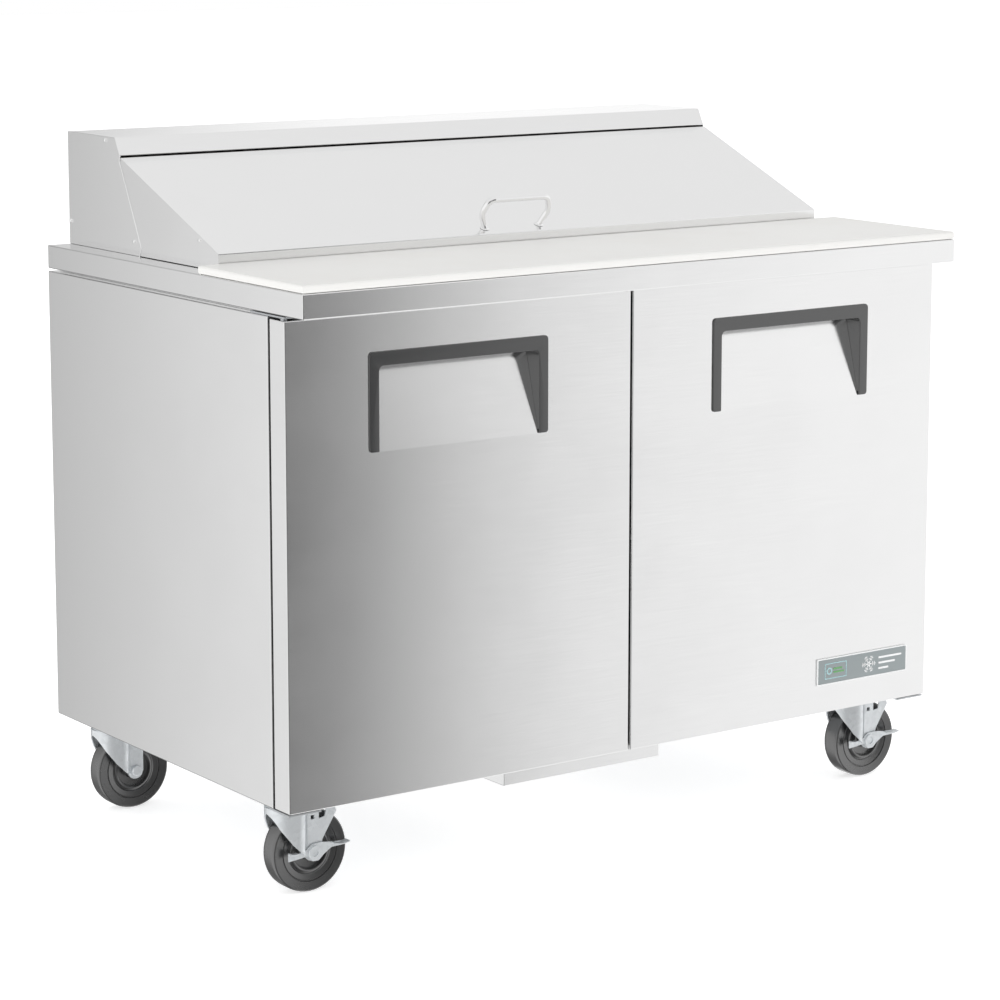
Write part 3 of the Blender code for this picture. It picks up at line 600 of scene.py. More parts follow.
def make_brake_lever(place):
    """A stamped lever round the axle: a flared arm with a curled tread, and a tab the other way."""
    x, y, z = JOINTS[place + "_roll"]["pos_m"]
    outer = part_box(f"caster_{place}_brake_lever")[1].y
    under = [(-0.0445, -0.0075, 0.0008), (-0.012, -0.0045, 0.004), (-0.003, -0.0135, 0.004)]
    under += [(0.008, -0.0135, 0.004), (0.016, -0.006, 0.003), (0.03, 0.003, 0.008), (0.05, 0.0035, 0.0008)]
    over = [(0.0515, 0.0098, 0.0008), (0.032, 0.011, 0.008), (0.014, 0.0135, 0.006), (-0.004, 0.013, 0.006)]
    over += [(-0.014, 0.0045, 0.004), (-0.03, 0.002, 0.004), (-0.0445, 0.0045, 0.0008)]
    rim = rounded([(x + across, z + up, radius) for across, up, radius in under + over], 4)
    lever = Shape().plate([rim, circle(x, z, 0.0056, 20)], "xz", (outer - 0.0021, outer - 0.0001), 0.0004)
    tread, tab = [], []
    for t in spaced(0.0, 1.0, 9):
        up = 0.0108 - 0.0022 * math.sin(math.pi * t) - 0.0002 * t
        tread.append((x + 0.03 + 0.026 * t, outer - 0.0065, z + up))
    lever.sweep(tread, rectangle((-0.0068, 0.0068), (-0.0009, 0.0009), 0.0006, 2))
    for t in spaced(0.0, 0.75, 7):
        tab.append((x - 0.0442 + 0.0176 * t, outer - 0.0045, z + 0.0052 - 0.0016 * math.sin(math.pi * t)))
    lever.sweep(tab, rectangle((-0.0042, 0.0042), (-0.0007, 0.0007), 0.0005, 2))
    washer = [(0.006, -0.003), (0.01, -0.003), (0.0105, -0.0024), (0.0105, 0.0), (0.006, 0.0)]
    lever.turned(washer, (x, outer - 0.0018, z), "-y", 28, closed=True)
    lever.done(f"brake_lever_{place}", place + "_brake", "zinc", f"caster_{place}_brake_lever")


def bolt_head(across, height):
    """A hexagon bolt head with a washer under it, standing up along Z."""
    washer = [(0.0, 0.0), (across * 0.72, 0.0), (across * 0.72, 0.001), (0.0, 0.001)]
    head = [(0.0, 0.0009), (across * 0.58, 0.0009), (across * 0.58, height * 0.85), (across * 0.46, height)]
    return Shape().turned(washer, steps=24).turned([*head, (0.0, height)], steps=6).shape


def make_mount(place):
    """A top plate held by four bolts, and the ball race under it."""
    node = f"caster_{place}_mount"
    low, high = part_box(node)
    x, y = middle(node).x, middle(node).y
    top = high.z
    mount = Shape().plate([outline_of((low, high), 0.0, 0.006, "xy")], "xy", (top - 0.004, top), 0.0005)
    race = [(0.0, top - 0.003), (0.03, top - 0.003), (0.033, top - 0.0052), (0.034, top - 0.0078)]
    race += [(0.031, top - 0.0098), (0.026, low.z), (0.0, low.z)]
    mount.turned(race, (x, y, 0), steps=40)
    for across in (-0.037, 0.037):
        for back in (-0.037, 0.037):
            spot = Matrix.Translation((x + across, y + back, top - 0.0038))
            mount.take(bolt_head(0.008, 0.0045), spot @ UPSIDE_DOWN)
    mount.done(f"mount_{place}", "cabinet", "zinc", node)


def make_casters():
    for place in ("front_left", "front_right", "rear_left", "rear_right"):
        braked = place.startswith("front")
        make_wheel(place)
        make_fork(place, braked)
        make_mount(place)
        if braked:
            make_brake_lever(place)


# ---------------------------------------------------------------- doors


def make_trim(side):
    """The handle's inverted U with rounded edges, and the walls that line the pocket."""
    node = f"door_{side}_handle_trim"
    low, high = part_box(node)
    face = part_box(f"door_{side}")[0].y
    leg, head, wall, fillet, corner = 0.017, 0.0215, 0.0028, 0.008, 0.0065
    left, right, top = low.x + leg, high.x - leg, high.z - head
    outline = [(low.x, low.z, 0.005), (left, low.z, 0.002), (left, top, 0.008), (right, top, 0.008)]
    outline += [(right, low.z, 0.002), (high.x, low.z, 0.005)]
    outline += [(high.x, high.z, corner), (low.x, high.z, corner)]
    trim = Shape().plate([rounded(outline)], "xz", (face - 0.0025, face - 0.0003), 0.001)

    def slant(z):
        return face + (high.y - 0.0004 - face) * (z - low.z) / (top - low.z)

    start, foot = face - 0.0012, low.z + 0.006
    wedge = [(start, foot), (slant(foot), foot), (slant(top + wall), top + wall), (start, top + wall)]
    for x in ((left - wall, left), (right, right + wall)):
        trim.plate([wedge], "yz", x, 0.0003)
    trim.block((left - wall, right + wall), (start, slant(top) - 0.0002), (top, top + wall), 0.0004)
    for x, way in ((left, 1), (right, -1)):
        web = [(x - way * 0.001, top + 0.001)]
        for angle in spaced(0.0, math.pi / 2, 7):
            web.append((x + way * fillet * (1 - math.cos(angle)), top - fillet * (1 - math.sin(angle))))
        trim.plate([web[::way]], "xz", (start, slant(top) - 0.003))
    trim.done(f"handle_{side}", f"{side}_door", "charcoal_plastic", node)


def make_badge():
    """A plain plate with a pale rim, two coloured bars and a snow crystal, with no lettering."""
    box = low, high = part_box("badge")
    front, back = low.y, high.y
    z = (low.z + high.z) / 2
    plate = Shape().plate([outline_of(box, 0.0022, 0.001)], "xz", (front + 0.0004, back), 0.0002)
    plate.done("badge_plate", "right_door", "badge_plate", "badge")
    outlines = [outline_of(box, 0.0, 0.002), outline_of(box, 0.002, 0.001)]
    rim = Shape().plate(outlines, "xz", (front, back), 0.0003)
    marks = (front + 0.0001, front + 0.0006)
    for k in range(6):
        turn = Matrix.Translation((low.x + 0.11, 0, z)) @ Matrix.Rotation(-math.pi * k / 3, 4, "Y")
        rim.block((0.001, 0.0145), marks, (-0.0009, 0.0009), place=turn)
        for reach in (0.0065, 0.0105):
            for angle in (math.radians(-52), math.radians(52)):
                arm = turn @ Matrix.Translation((reach, 0, 0)) @ Matrix.Rotation(angle, 4, "Y")
                rim.block((0.0, 0.0042), marks, (-0.0006, 0.0006), place=arm)
    for k, length in enumerate((0.05, 0.036, 0.022)):
        up = z + 0.008 - 0.009 * k
        bar = rectangle((low.x + 0.131, low.x + 0.131 + length), (up - 0.0016, up + 0.0016), 0.0015)
        rim.plate([bar], "xz", marks)
    rim.done("badge_rim", "right_door", "badge_pale")

    left, right = low.x + 0.016, low.x + 0.062
    label = [rectangle((left, right), (low.z + 0.009, high.z - 0.009), 0.001)]
    label.append(rectangle((left + 0.0012, right - 0.0012), (low.z + 0.0102, high.z - 0.0102), 0.0006))
    blue = Shape().plate(label, "xz", marks)
    blue.plate([circle(left + 0.0095, z, 0.0058), circle(left + 0.0095, z, 0.0036)], "xz", marks)
    blue.done("badge_outline", "right_door", "badge_blue")
    green = Shape()
    for k in range(2):
        up = z - 0.0042 + 0.0056 * k
        bar = rectangle((left + 0.018, right - 0.005 - 0.004 * k), (up, up + 0.003), 0.001)
        green.plate([bar], "xz", marks)
    green.done("badge_bars", "right_door", "badge_green")


def make_gasket(side):
    """A magnetic seal: a bellows section that runs round the door, mitred at its corners."""
    node = f"door_{side}_gasket"
    low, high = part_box(node)
    half_width = 0.01
    centre, deep = (low.y + high.y) / 2, (high.y - low.y - 0.0002) / 2
    section = [(-0.0096, -deep), (-0.0096, -deep * 0.4), (-0.007, 0.0), (-0.0096, deep * 0.4)]
    section += [(-0.0088, deep), (0.006, deep), (0.0082, deep * 0.5), (0.006, 0.0)]
    section += [(0.0096, -deep * 0.5), (0.0096, -deep)]
    rings = []
    corners = outline_of((low, high), half_width)
    for (x, z), (out_x, out_z) in zip(corners, ((-1, -1), (1, -1), (1, 1), (-1, 1))):
        rings.append([(x + out_x * a, centre + b, z + out_z * a) for a, b in section])
    Shape().take(lofted(rings, along=True)).done(f"seal_{side}", f"{side}_door", "gasket", node)


def make_door_liner(side):
    """The door's inner panel: a shallow moulded pan with a raised border and two ribs."""
    node = f"door_{side}_liner"
    low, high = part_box(node)
    face, floor = high.y, high.y - 0.01
    rows = [(0.0, low.y), (0.0, low.y + 0.002), (0.004, face - 0.003), (0.008, face), (0.022, face)]
    rows += [(0.027, face - 0.002), (0.034, face - 0.009), (0.04, floor)]
    rings = []
    for inset, y in rows:
        outline = outline_of((low, high), inset, 0.022 - min(inset, 0.014))
        rings.append([(x, y, z) for x, z in outline])
    liner = Shape().take(lofted(rings, caps=True))
    for z in spaced(low.z, high.z, 4)[1:3]:
        rib_y, rib_z = (floor - 0.002, floor + 0.004), (z - 0.01, z + 0.01)
        liner.block((low.x + 0.06, high.x - 0.06), rib_y, rib_z, 0.0035, 3)
    liner.done(f"door_panel_{side}", f"{side}_door", "white_plastic", node)


def make_hinge_screws(side):
    """Two screws on each hinge plate."""
    dome = [(0.0, 0.0), (0.0042, 0.0), (0.0038, 0.0006), (0.0022, 0.001), (0.0008, 0.0011), (0.0, 0.0006)]
    wall_low, wall_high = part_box("side_wall_left")
    ends = (
        ("top", wall_high.z + 0.0033, 0, (-0.014, 0.014), 0.01),
        ("bottom", wall_low.z - 0.0033, math.pi, (-0.016, 0.012), 0.008),
    )
    for end, z, angle, offsets, inset in ends:
        node = f"door_{side}_{end}_hinge"
        screws = Shape()
        for offset in offsets:
            spot = Matrix.Translation((middle(node).x + offset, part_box(node)[1].y - inset, z))
            screws.take(Shape().turned(dome, steps=16).shape, spot @ Matrix.Rotation(angle, 4, "X"))
        screws.done(f"hinge_screws_{side}_{end}", "cabinet", "zinc")


# ---------------------------------------------------------------- hood and lid


RIVET = [(0, 0.0026), (0.0014, 0.0024), (0.0027, 0.0016), (0.0034, 0.0005), (0.0036, -0.0004), (0, -0.0004)]


def make_rivets():
    """Rivet heads on the hood's ends and on the lid's cheeks."""
    rear, hood_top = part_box("hood")[1].y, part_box("hood")[1].z
    lip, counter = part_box("lid_cover")[0].y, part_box("countertop")[1].z
    on_hood = [(rear - 0.1244, hood_top - 0.0065), (rear - 0.006, counter + 0.0367)]
    on_hood.append((rear - 0.2121, counter + 0.0213))
    on_lid = [(lip + 0.0549, counter + 0.0412)]
    for node, body, spots in (("hood", "cabinet", on_hood), ("lid_cover", "lid", on_lid)):
        low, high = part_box(node)
        rivets = Shape()
        for y, z in spots:
            rivets.turned(RIVET, (high.x, y, z), "x", 20)
            rivets.turned([(radius, -height) for radius, height in RIVET], (low.x, y, z), "x", 20)
        rivets.done(f"{node}_rivets", body, "stainless", look="polished")


def make_hood():
    """A folded cover with a front flange, an end plate on each side, and the saddles of the lid's rod."""
    low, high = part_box("hood")
    sheet, rear, top = 0.0015, high.y, high.z
    corner_y, flange_y, flange_z = rear - 0.1554, rear - 0.1696, top - 0.0272
    fold = [(rear, low.z), (rear, top), (corner_y, top), (flange_y, flange_z), (flange_y + sheet, flange_z)]
    fold += [(corner_y + 0.6 * sheet, top - sheet), (rear - sheet, top - sheet), (rear - sheet, low.z)]
    hood = Shape().plate([fold], "yz", (low.x, high.x), 0.0003)
    front = [(rear - 0.1703, top - 0.029), (rear - 0.1693, top - 0.036)]
    front += [(rear - 0.2345, low.z + 0.0127), (rear - 0.2285, low.z)]
    cheek = [(rear - 0.0004, low.z), (rear - 0.0004, top - 0.0004), (corner_y, top - 0.0004), *front]
    for _, sign in SIDES:
        outer = sign * (high.x - 0.0003)
        hood.plate([cheek], "yz", (outer, outer - sign * sheet), 0.0002)
        hood.tube([(sign * (high.x - 0.0008), y + 0.0013, z) for y, z in front], 0.0013)
    hood.tube([(x, flange_y + 0.0011, flange_z) for x in (low.x + 0.001, high.x - 0.001)], 0.0012, 12)
    y, z = middle("lid_hinge_rod").y, middle("lid_hinge_rod").z
    saddle = [(y - 0.002, z - 0.0023), (y - 0.002, z - 0.014), (y + 0.006, z - 0.022), (y + 0.022, z - 0.022)]
    saddle += [(y + 0.022, z - 0.0036), (y + 0.001, z - 0.0036), (y + 0.001, z - 0.0023)]
    for _, sign in SIDES:
        hood.plate([saddle], "yz", (sign * 0.566, sign * 0.5731), 0.0002)
        hood.block((sign * 0.57, sign * 0.5743), (y + 0.01, y + 0.02), (z - 0.02, z - 0.006))
    hood.done("hood_cover", "cabinet", "stainless", "hood")


def make_lid_pull():
    """A bent rod with a small weld collar at each foot."""
    low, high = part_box("lid_handle")
    radius, rise, half = 0.005, 0.049, (high.x - low.x) / 2 - 0.004
    foot = Vector(((low.x + high.x) / 2, *on_slope(0.0175, -0.0004)))
    left = [(-half, 0, 0), (-half - 0.0125, 0.026, 0.02), (-half - 0.003, rise, 0.013)]
    path = rounded(left + [(-x, up, bend) for x, up, bend in reversed(left)], steps=14)
    normal = Vector((0, -math.sin(LID_ANGLE), math.cos(LID_ANGLE)))
    pull = Shape().tube([foot + Vector((x, 0, 0)) + normal * up for x, up in path], radius, 20)
    collar = [(0.0, 0.0022), (0.0052, 0.0022), (0.006, 0.0012), (0.0072, 0.0004), (0.0074, 0.0), (0.0, 0.0)]
    for x in (-half, half):
        spot = Matrix.Translation(foot + Vector((x, 0, 0))) @ Matrix.Rotation(LID_ANGLE, 4, "X")
        pull.take(Shape().turned(collar, steps=28).shape, spot)
    pull.done("lid_pull", "lid", "stainless", "lid_handle", look="polished")


# ---------------------------------------------------------------- inside


def make_pan(k):
    """A clear food pan with round corners and a turned-out rim."""
    node = f"food_pan_{k}"
    low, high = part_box(node)
    top, bottom, wall = high.z, low.z, 0.0024
    drop = top - bottom
    outer = [(0.0, top - 0.0012, 0.01), (0.0006, top - 0.0024, 0.01), (0.007, top - 0.0026, 0.012)]
    inner = [(0.0004, top - 0.0002, 0.01), (0.0012, top, 0.01), (0.0078, top - 0.0002, 0.014)]
    for depth in (0.004, 0.02, 0.06, drop - 0.016):
        taper = 0.0083 + 0.006 * depth / drop
        outer.append((taper, top - depth, 0.016))
        inner.append((taper + wall, top - depth, 0.016))
    for depth, taper in ((0.009, 0.0163), (0.004, 0.0203), (0.0, 0.0283)):
        outer.append((taper, bottom + depth, 0.018))
        inner.append((taper + wall, bottom + depth + wall, 0.018))
    rings = []
    for inset, z, radius in outer[::-1] + inner:
        rings.append([(x, y, z) for x, y in outline_of((low, high), inset, radius, "xy")])
    Shape().take(lofted(rings, caps=True)).done(f"pan_{k}", "cabinet", "clear_plastic", node)


def make_shelf(side, level):
    """A coated wire shelf: a rim, cross rods and close wires from front to back."""
    node = f"shelf_{side}_{level}"
    low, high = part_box(node)
    thick, fine = 0.0028, 0.0015
    z = (low.z + high.z) / 2
    left, right, front, back = low.x + thick, high.x - thick, low.y + thick, high.y - thick
    rim = outline_of((low, high), thick, 0.012, "xy")
    shelf = Shape().tube([(x, y, z) for x, y in rim], thick, 10, closed=True)
    for y in spaced(low.y, high.y, 5)[1:-1]:
        shelf.tube([(x, y, z - 0.0012) for x in (left, right)], thick * 0.8, 8)
    for x in spaced(low.x, high.x, 24)[1:-1]:
        shelf.tube([(x, y, z + thick * 0.55) for y in (front, back)], fine, 6)
    shelf.done(f"wire_shelf_{side}_{level}", "cabinet", "coated_wire", node)


def make_standards():
    """Slotted strips on the end walls and a post in the middle, with a clip under each shelf's corners."""
    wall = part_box("inner_liner")[1].x - 0.0014
    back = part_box("shelf_left_lower")[1].y
    low, high, sheet = 0.24, 0.76, 0.0018
    standards, clips = Shape(), Shape()
    clip_heights = []
    for level in ("lower", "upper"):
        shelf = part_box(f"shelf_left_{level}")[0].z
        clip_heights.append((shelf - 0.005, shelf - 0.0006))
    for _, sign in SIDES:
        for y in (back - 0.37, back - 0.035):
            strip = [rectangle((y - 0.009, y + 0.009), (low, high), 0.002)]
            for z in spaced(low + 0.012, high - 0.02, 20):
                strip.append(rectangle((y - 0.003, y + 0.003), (z, z + 0.011)))
            standards.plate(strip, "yz", (sign * wall, sign * (wall - sheet)), 0.0002)
            for z in clip_heights:
                clip_x = (sign * (wall - sheet), sign * (wall - 0.0095))
                clips.block(clip_x, (y - 0.007, y + 0.007), z, 0.0006)
    for z in clip_heights:
        clips.block((-0.029, 0.029), (back - 0.019, back - 0.006), z, 0.0006)
    face, behind, web = back - 0.018, back - 0.006, back - 0.0168
    post = [(-0.009, face), (0.009, face), (0.009, behind), (0.0078, behind)]
    post += [(0.0078, web), (-0.0078, web), (-0.0078, behind), (-0.009, behind)]
    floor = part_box("inner_liner")[0].z + 0.0016
    standards.plate([post], "xy", (floor, clip_heights[1][1] + 0.0206), 0.0002)
    standards.done("shelf_standards", "cabinet", "galvanised")
    clips.done("shelf_clips", "cabinet", "zinc")


def make_blades(node, axis):
    """A pressed fan: twisted, cambered blades on a round hub."""
    place = Vector(JOINTS[node + "_spin"]["pos_m"])
    low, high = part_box(node)
    radius = max(high.z - place.z, place.z - low.z)
    hub, blades = 0.017, 5
    fan = Shape()
    for k in range(blades):
        rows = []
        for t in spaced(0.0, 1.0, 8):
            reach = hub - 0.002 + (radius - hub) * t
            chord, pitch = 0.024 + 0.018 * math.sin(math.pi * (0.15 + 0.6 * t)), math.radians(40 - 16 * t)
            row = []
            for c in spaced(-1.0, 1.0, 9):
                along = chord / 2 * c * (1.0 - 0.25 * t**4 * c * c)
                angle = along * math.cos(pitch) / reach + math.tau * k / blades
                height = along * math.sin(pitch) + 0.0022 * (1 - c * c)
                row.append((reach * math.cos(angle), reach * math.sin(angle), height))
            rows.append(row)
        blade = thickened(lofted(rows, around=False), 0.0009, 0.0002)
        fan.take(blade, Matrix.Translation(place) @ TO_AXIS[axis])
    profile = [(0.0, -0.0085), (0.015, -0.0085), (0.0175, -0.0065), (0.018, 0.006), (0.016, 0.0085)]
    profile += [(0.006, 0.0088), (0.005, 0.0105), (0.0, 0.0105)]
    fan.turned(profile, place, axis, 36)
    fan.done(f"{node}_blades", f"{node}_rotor", SLOT_OF[node], node)


def make_condenser():
    """Fins between two end plates, with a serpentine of copper tube through them."""
    low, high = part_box("condenser_coil")
    fins = Shape()
    for y in spaced(low.y + 0.01, high.y - 0.01, 46):
        fins.block((low.x + 0.002, high.x - 0.003), (y - 0.0002, y + 0.0002), (low.z + 0.003, high.z - 0.003))
    for y in (low.y + 0.0075, high.y - 0.0075):
        fins.block((low.x, high.x - 0.0025), (y - 0.0008, y + 0.0008), (low.z, high.z), 0.0003)
    fins.done("condenser_fins", "cabinet", "aluminium", "condenser_coil")

    tubes, bend = Shape(), 0.0075
    heights = spaced(low.z + 0.018, high.z - 0.018, 10)
    radius = (heights[1] - heights[0]) / 2
    ends = (low.y + bend + 0.0045, high.y - bend - 0.0045)
    for x in (low.x + 0.015, high.x - 0.017):
        path = []
        for k, z in enumerate(heights):
            way = -1 if k % 2 else 1
            start, stop = ends[::way]
            path += [(x, start, z), (x, stop, z)]
            if z != heights[-1]:
                for angle in spaced(math.pi / 10, math.pi * 0.9, 7):
                    path.append((x, stop + way * bend * math.sin(angle), z + radius * (1 - math.cos(angle))))
        tubes.tube(path, 0.0036, 10)
    tubes.done("condenser_tubes", "cabinet", "copper")


def make_shroud():
    """The plate and collar round the condenser's fan, the three arms of its motor, and the motor."""
    low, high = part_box("condenser_coil")
    place = Vector(JOINTS["condenser_fan_spin"]["pos_m"])
    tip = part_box("condenser_fan")[1].z - place.z + 0.0035
    outline = [rectangle((low.y, high.y), (low.z + 0.002, high.z), 0.003), circle(place.y, place.z, tip, 56)]
    shroud = Shape().plate(outline, "yz", (high.x - 0.0016, high.x - 0.0004), 0.0003)
    lip = [(tip, 0.0), (tip + 0.0012, 0.0), (tip + 0.0012, 0.011), (tip, 0.011)]
    shroud.turned(lip, (high.x - 0.0006, place.y, place.z), "x", 56, closed=True)
    reach = tip + 0.0032
    bend = place.x + 0.032
    arm = [(high.x, reach), (bend - 0.006, reach), (bend, reach - 0.006), (bend, 0.012)]
    for k in range(3):
        angle = math.tau * (k + 0.25) / 3
        points = [(x, place.y + r * math.cos(angle), place.z + r * math.sin(angle)) for x, r in arm]
        shroud.tube(points, 0.0018, 8)
    shroud.done("condenser_shroud", "cabinet", "galvanised")
    motor = [(0.0, 0.016), (0.0032, 0.016), (0.0032, 0.02), (0.019, 0.02), (0.022, 0.023)]
    motor += [(0.022, 0.036), (0.0232, 0.037), (0.0232, 0.041), (0.022, 0.042), (0.022, 0.052)]
    motor += [(0.019, 0.056), (0.0, 0.056)]
    Shape().turned(motor, place, "x", 36).done("condenser_fan_motor", "cabinet", "black_paint")


def make_compressor():
    """A welded steel shell on three rubber feet, with its terminal box."""
    low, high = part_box("compressor")
    centre = middle("compressor")
    tall, wide = high.z - low.z, (high.x - low.x) / 2
    can = [(0.0, 0.012), (0.044, 0.012), (0.054, 0.017), (0.06, 0.026), (0.062, 0.04), (0.062, 0.088)]
    can += [(0.0645, 0.089), (wide, 0.09), (wide, 0.0945), (0.0645, 0.0955), (0.062, 0.0965)]
    for angle in spaced(0.0, math.pi / 2, 9):
        can.append((0.03 + 0.032 * math.cos(angle), tall - 0.046 + 0.044 * math.sin(angle)))
    shell = Shape().turned([*can, (0.012, tall - 0.0005), (0.0, tall)], (centre.x, centre.y, low.z), "z", 56)
    leg = rounded([(0.04, -0.016, 0), (0.066, -0.011, 0.006), (0.066, 0.011, 0.006), (0.04, 0.016, 0)])
    grommet = [(0.0, 0.0002), (0.0085, 0.0002), (0.0085, 0.004), (0.007, 0.0055), (0.0085, 0.007)]
    grommet += [(0.0085, 0.0098), (0.0, 0.0098)]
    fittings = Shape()
    for k in range(3):
        turn = Matrix.Rotation(math.tau * (k + 0.75) / 3, 4, "Z")
        turn = Matrix.Translation((centre.x, centre.y, low.z)) @ turn
        shell.plate([leg], "xy", (0.01, 0.013), 0.0004, turn)
        fittings.take(Shape().turned(grommet, (0.056, 0, 0), steps=20).shape, turn)
    shell.done("compressor_shell", "cabinet", "black_paint", "compressor")
    box_x, box_y = (centre.x - 0.02, centre.x + 0.02), (centre.y - 0.08, centre.y - 0.054)
    fittings.block(box_x, box_y, (low.z + 0.05, low.z + 0.086), 0.003)
    fittings.done("compressor_fittings", "cabinet", "black_plastic")


def make_pipes():
    """The compressor's gas, suction and filling pipes."""
    coil_low, coil_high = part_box("condenser_coil")
    x, y = middle("compressor").x, middle("compressor").y
    z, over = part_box("compressor")[1].z - 0.042, coil_high.z - 0.012
    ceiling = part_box("rear_grille")[1].z
    far_x, near_y = coil_high.x + 0.03, coil_low.y + 0.012
    gas = [(x - 0.055, y - 0.01, z, 0), (x - 0.09, y - 0.01, z, 0.016), (x - 0.09, y - 0.01, over, 0.016)]
    gas += [(far_x, y - 0.01, over, 0.016), (far_x, near_y, over, 0.014)]
    gas += [(coil_high.x - 0.004, near_y, over, 0)]
    suction = [(x + 0.04, y - 0.03, z + 0.006, 0), (x + 0.085, y - 0.052, z + 0.006, 0.018)]
    suction += [(x + 0.085, y - 0.052, ceiling, 0)]
    filler = [(x + 0.052, y + 0.02, z, 0), (x + 0.074, y + 0.03, z, 0.008)]
    filler += [(x + 0.074, y + 0.03, z + 0.045, 0)]
    pipes = Shape()
    for path, radius, sides in ((gas, 0.0032, 10), (suction, 0.0046, 12), (filler, 0.003, 10)):
        pipes.tube(bent(path), radius, sides)
    pipes.done("copper_pipes", "cabinet", "copper")


def make_evaporator():
    """A cover with louvres beside its fan, a wire guard over the fan, and a drip tray."""
    low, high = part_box("evaporator_housing")
    place = Vector(JOINTS["evaporator_fan_spin"]["pos_m"])
    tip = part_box("evaporator_fan")[1].z - place.z
    cover = Shape().block((low.x, high.x), (low.y, high.y), (low.z + 0.012, high.z), 0.004, 3)
    collar = [(tip + 0.002, 0.0), (tip + 0.01, 0.0), (tip + 0.009, 0.003), (tip + 0.004, 0.006)]
    collar.append((tip + 0.002, 0.006))
    cover.turned(collar, (place.x, low.y + 0.0004, place.z), "-y", 64, closed=True)
    tilt = Matrix.Rotation(math.radians(38), 4, "X")
    for _, sign in SIDES:
        for z in spaced(low.z + 0.052, high.z - 0.042, 11):
            spot = Matrix.Translation((sign * 0.155, low.y - 0.0012, z)) @ tilt
            cover.block((-0.06, 0.06), (-0.0045, 0.0045), (-0.0006, 0.0006), 0.0004, 1, spot)
    tray = rectangle((low.x, high.x), (low.y - 0.006, high.y), 0.004)
    cover.plate([tray], "xy", (low.z + 0.0004, low.z + 0.01), 0.0012)
    cover.done("evaporator_cover", "cabinet", "aluminium", "evaporator_housing")

    guard, front = Shape(), place.y - 0.0155
    for ring in spaced(0.012, tip + 0.004, 6):
        guard.tube([(x, front, z) for x, z in circle(place.x, place.z, ring, 40)], 0.001, 6, closed=True)
    spoke = [(0.006, front - 0.0016), (tip + 0.0075, front - 0.0016), (tip + 0.0095, front + 0.002)]
    spoke.append((tip + 0.0095, low.y + 0.001))
    for k in range(4):
        angle = math.pi * (k + 0.5) / 2
        points = [(place.x + r * math.cos(angle), y, place.z + r * math.sin(angle)) for r, y in spoke]
        guard.tube(points, 0.0012, 6)
    guard.done("evaporator_guard", "cabinet", "zinc")


DOME = ((0.0, 0.0), (0.0046, 0.0), (0.0042, 0.0009), (0.0026, 0.0017), (0.001, 0.0019), (0.0, 0.0012))


def make_grille():
    """The rear panel, with a curved hood over each slot and screws round its edge."""
    low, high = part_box("rear_grille")
    arc = [(0.0075 * math.sin(angle), 0.0085 * math.cos(angle)) for angle in spaced(0.0, math.pi / 2, 7)]
    arc += [(0.9 * y, 0.9 * up) for y, up in reversed(arc)]
    outlines, grille = [outline_of((low, high), 0.0, 0.002)], Shape()
    for centre in (-0.3, 0.1):
        width = (centre - 0.12, centre + 0.12)
        for k in range(9):
            z = low.z + 0.04 + 0.02 * k
            outlines.append(rectangle(width, (z, z + 0.007)))
            grille.plate([[(high.y - 0.0003 + y, z - 0.0005 + up) for y, up in arc]], "yz", width)
    grille.plate(outlines, "xz", (low.y, high.y), 0.0002)
    grille.done("rear_louvres", "cabinet", SLOT_OF["rear_grille"], "rear_grille")
    screws = Shape()
    for x in spaced(low.x + 0.014, high.x - 0.014, 6):
        for z in (low.z + 0.012, high.z - 0.012):
            spot = Matrix.Translation((x, high.y, z)) @ Matrix.Rotation(-math.pi / 2, 4, "X")
            screws.take(Shape().turned(DOME, steps=18).shape, spot)
    screws.done("grille_screws", "cabinet", "zinc")


def make_inlet():
    """The socket for the mains lead: a deep frame round three flat pins."""
    box = low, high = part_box("power_inlet")
    outlines = [outline_of(box, 0.0, 0.004), outline_of(box, 0.0045, 0.003)]
    inlet = Shape().plate(outlines, "xz", (low.y, high.y), 0.0006)
    floor_x, floor_z = (low.x + 0.003, high.x - 0.003), (low.z + 0.003, high.z - 0.003)
    inlet.block(floor_x, (low.y, low.y + 0.002), floor_z, 0.0004)
    inlet.done("inlet_frame", "cabinet", SLOT_OF["power_inlet"], "power_inlet")
    pins = Shape()
    centre = middle("power_inlet")
    for across, up in ((-0.0075, -0.002), (0.0, 0.004), (0.0075, -0.002)):
        x, z = centre.x + across, centre.z + up
        ends = (low.y + 0.0015, high.y - 0.003)
        pins.block((x - 0.001, x + 0.001), ends, (z - 0.003, z + 0.003), 0.0005)
    pins.done("inlet_pins", "cabinet", "zinc")


# ---------------------------------------------------------------- stage


# Brightness of the studio wall by its direction from the object, in degrees round from the front
WALL_LIGHT = (
    (-180, 0.2), (-158, 0.24), (-147, 0.9), (-60, 1.0), (-38, 0.9), (-30, 0.2), (-10, 0.14), (-4, 0.4),
    (4, 0.4), (12, 0.16), (26, 0.14), (31.5, 0.03), (35.6, 0.92), (45, 1.0), (146, 1.0), (160, 0.24),
    (180, 0.2),
)
CEILING_LIGHT = 0.84


def carry_over():
    """Every CAD node that is still shown gets the finish of its slot."""
    for name, obj in frame["nodes"].items():
        obj.data.materials.clear()
        obj.data.materials.append(LOOKS[SLOT_OF[name]])


def make_camera():
    camera = bpy.data.cameras.new("camera")
    camera.lens = CAMERA_LENS
    camera.sensor_width = 36
    camera.shift_y = CAMERA_SHIFT
    obj = add_object("camera", camera)
    obj.location = CAMERA_PLACE
    obj.rotation_euler = (math.radians(90 - CAMERA_PITCH), 0, -math.radians(CAMERA_AZIMUTH))
    bpy.context.scene.camera = obj


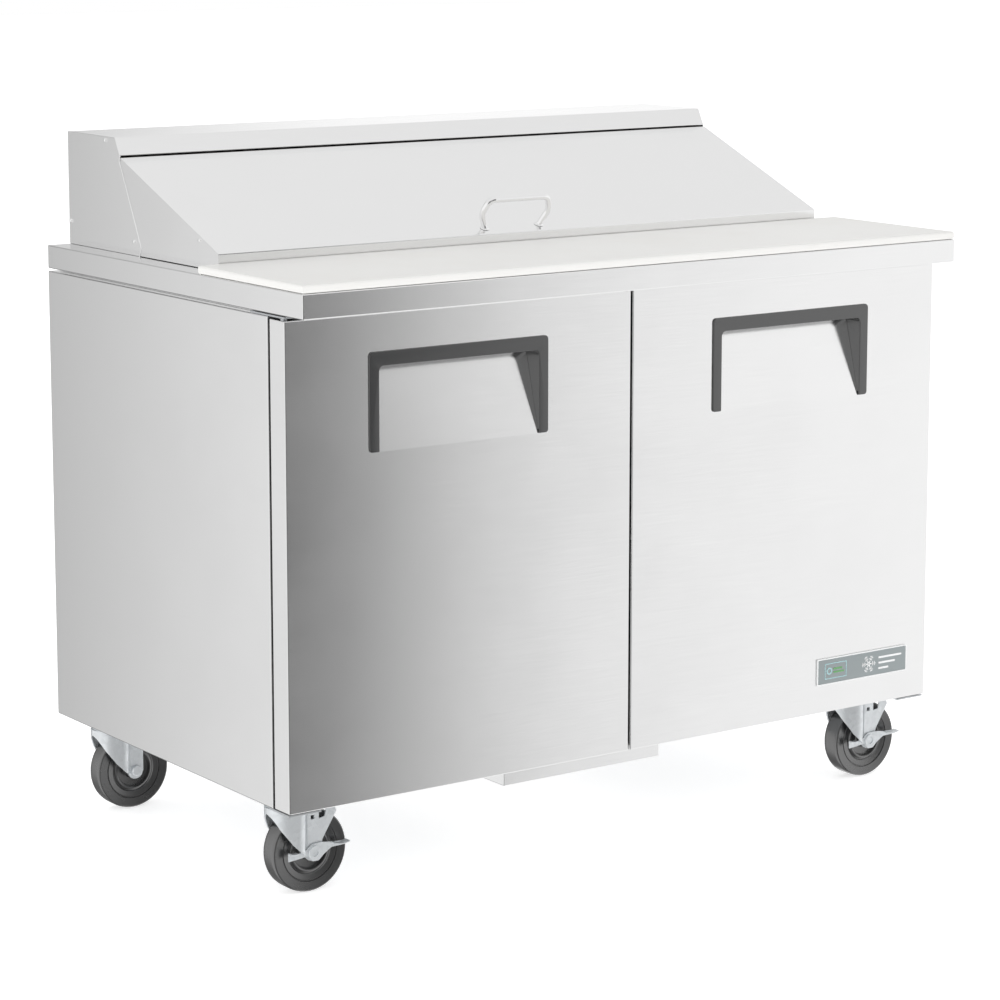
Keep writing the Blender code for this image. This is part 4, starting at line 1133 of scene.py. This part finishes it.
def make_world():
    """A studio whose wall is bright at the sides and darker ahead and behind, under a bright ceiling."""
    world = bpy.data.worlds.new("studio")
    bpy.context.scene.world = world
    world.use_nodes = True
    tree = world.node_tree
    tree.nodes.clear()

    def add(kind, inputs=(), **settings):
        return add_node(tree, kind, inputs, **settings)

    def mixed(factor, first, grey):
        inputs = {0: factor, 6: first, 7: (grey, grey, grey, 1)}
        return add("ShaderNodeMix", inputs, data_type="RGBA").outputs[2]

    direction = add("ShaderNodeTexCoord").outputs["Generated"]
    x, y, z = add("ShaderNodeSeparateXYZ", {0: direction}).outputs
    front = add("ShaderNodeMath", {0: y, 1: -1}, operation="MULTIPLY").outputs[0]
    angle = add("ShaderNodeMath", {0: x, 1: front}, operation="ARCTAN2").outputs[0]
    turn = add("ShaderNodeMapRange", {0: angle, 1: -math.pi, 2: math.pi, 3: 0.0, 4: 1.0}).outputs[0]
    wall = add("ShaderNodeValToRGB", {0: turn})
    wall.color_ramp.interpolation = "EASE"
    stops = wall.color_ramp.elements
    while len(stops) < len(WALL_LIGHT):
        stops.new(0.5)
    for stop, (degrees, value) in zip(stops, WALL_LIGHT):
        stop.position = (degrees + 180) / 360
        stop.color = (value, value, value, 1)
    limits = {0: z, 1: 0.28, 2: 0.58, 3: 0.0, 4: 1.0}
    height = add("ShaderNodeMapRange", limits, interpolation_type="SMOOTHSTEP").outputs[0]
    sky = mixed(height, wall.outputs[0], CEILING_LIGHT)
    seen = mixed(add("ShaderNodeLightPath").outputs["Is Camera Ray"], sky, 1)
    background = add("ShaderNodeBackground", {0: seen}).outputs[0]
    add("ShaderNodeOutputWorld", {0: background})


def make_stage():
    """A pale floor, and one wide lamp over the object's front left."""
    shape = bmesh.new()
    bmesh.ops.create_grid(shape, x_segments=8, y_segments=8, size=30)
    floor = add_object("floor", to_mesh(shape))
    floor.data.materials.append(LOOKS["floor"])
    floor.visible_glossy = False

    light = bpy.data.lights.new("overhead", "AREA")
    light.size = 3.5
    light.energy = 18
    lamp = add_object("overhead", light)
    lamp.location = (-1.0, -2.4, 4.2)
    lamp.rotation_euler = (Vector((0, 0, 0.6)) - lamp.location).to_track_quat("-Z", "Y").to_euler()
    lamp.visible_glossy = False
    lamp.visible_camera = False


carry_over()
make_casters()
for door_side, _ in SIDES:
    make_trim(door_side)
    make_gasket(door_side)
    make_door_liner(door_side)
    make_hinge_screws(door_side)
make_badge()
make_rivets()
make_hood()
make_lid_pull()
make_standards()
for pan in range(1, 7):
    make_pan(pan)
for shelf_side, _ in SIDES:
    for shelf_level in ("lower", "upper"):
        make_shelf(shelf_side, shelf_level)
make_blades("condenser_fan", "x")
make_blades("evaporator_fan", "y")
make_condenser()
make_shroud()
make_compressor()
make_pipes()
make_evaporator()
make_grille()
make_inlet()
make_stage()
make_world()
make_camera()
bpy.context.scene.view_settings.view_transform = "Standard"
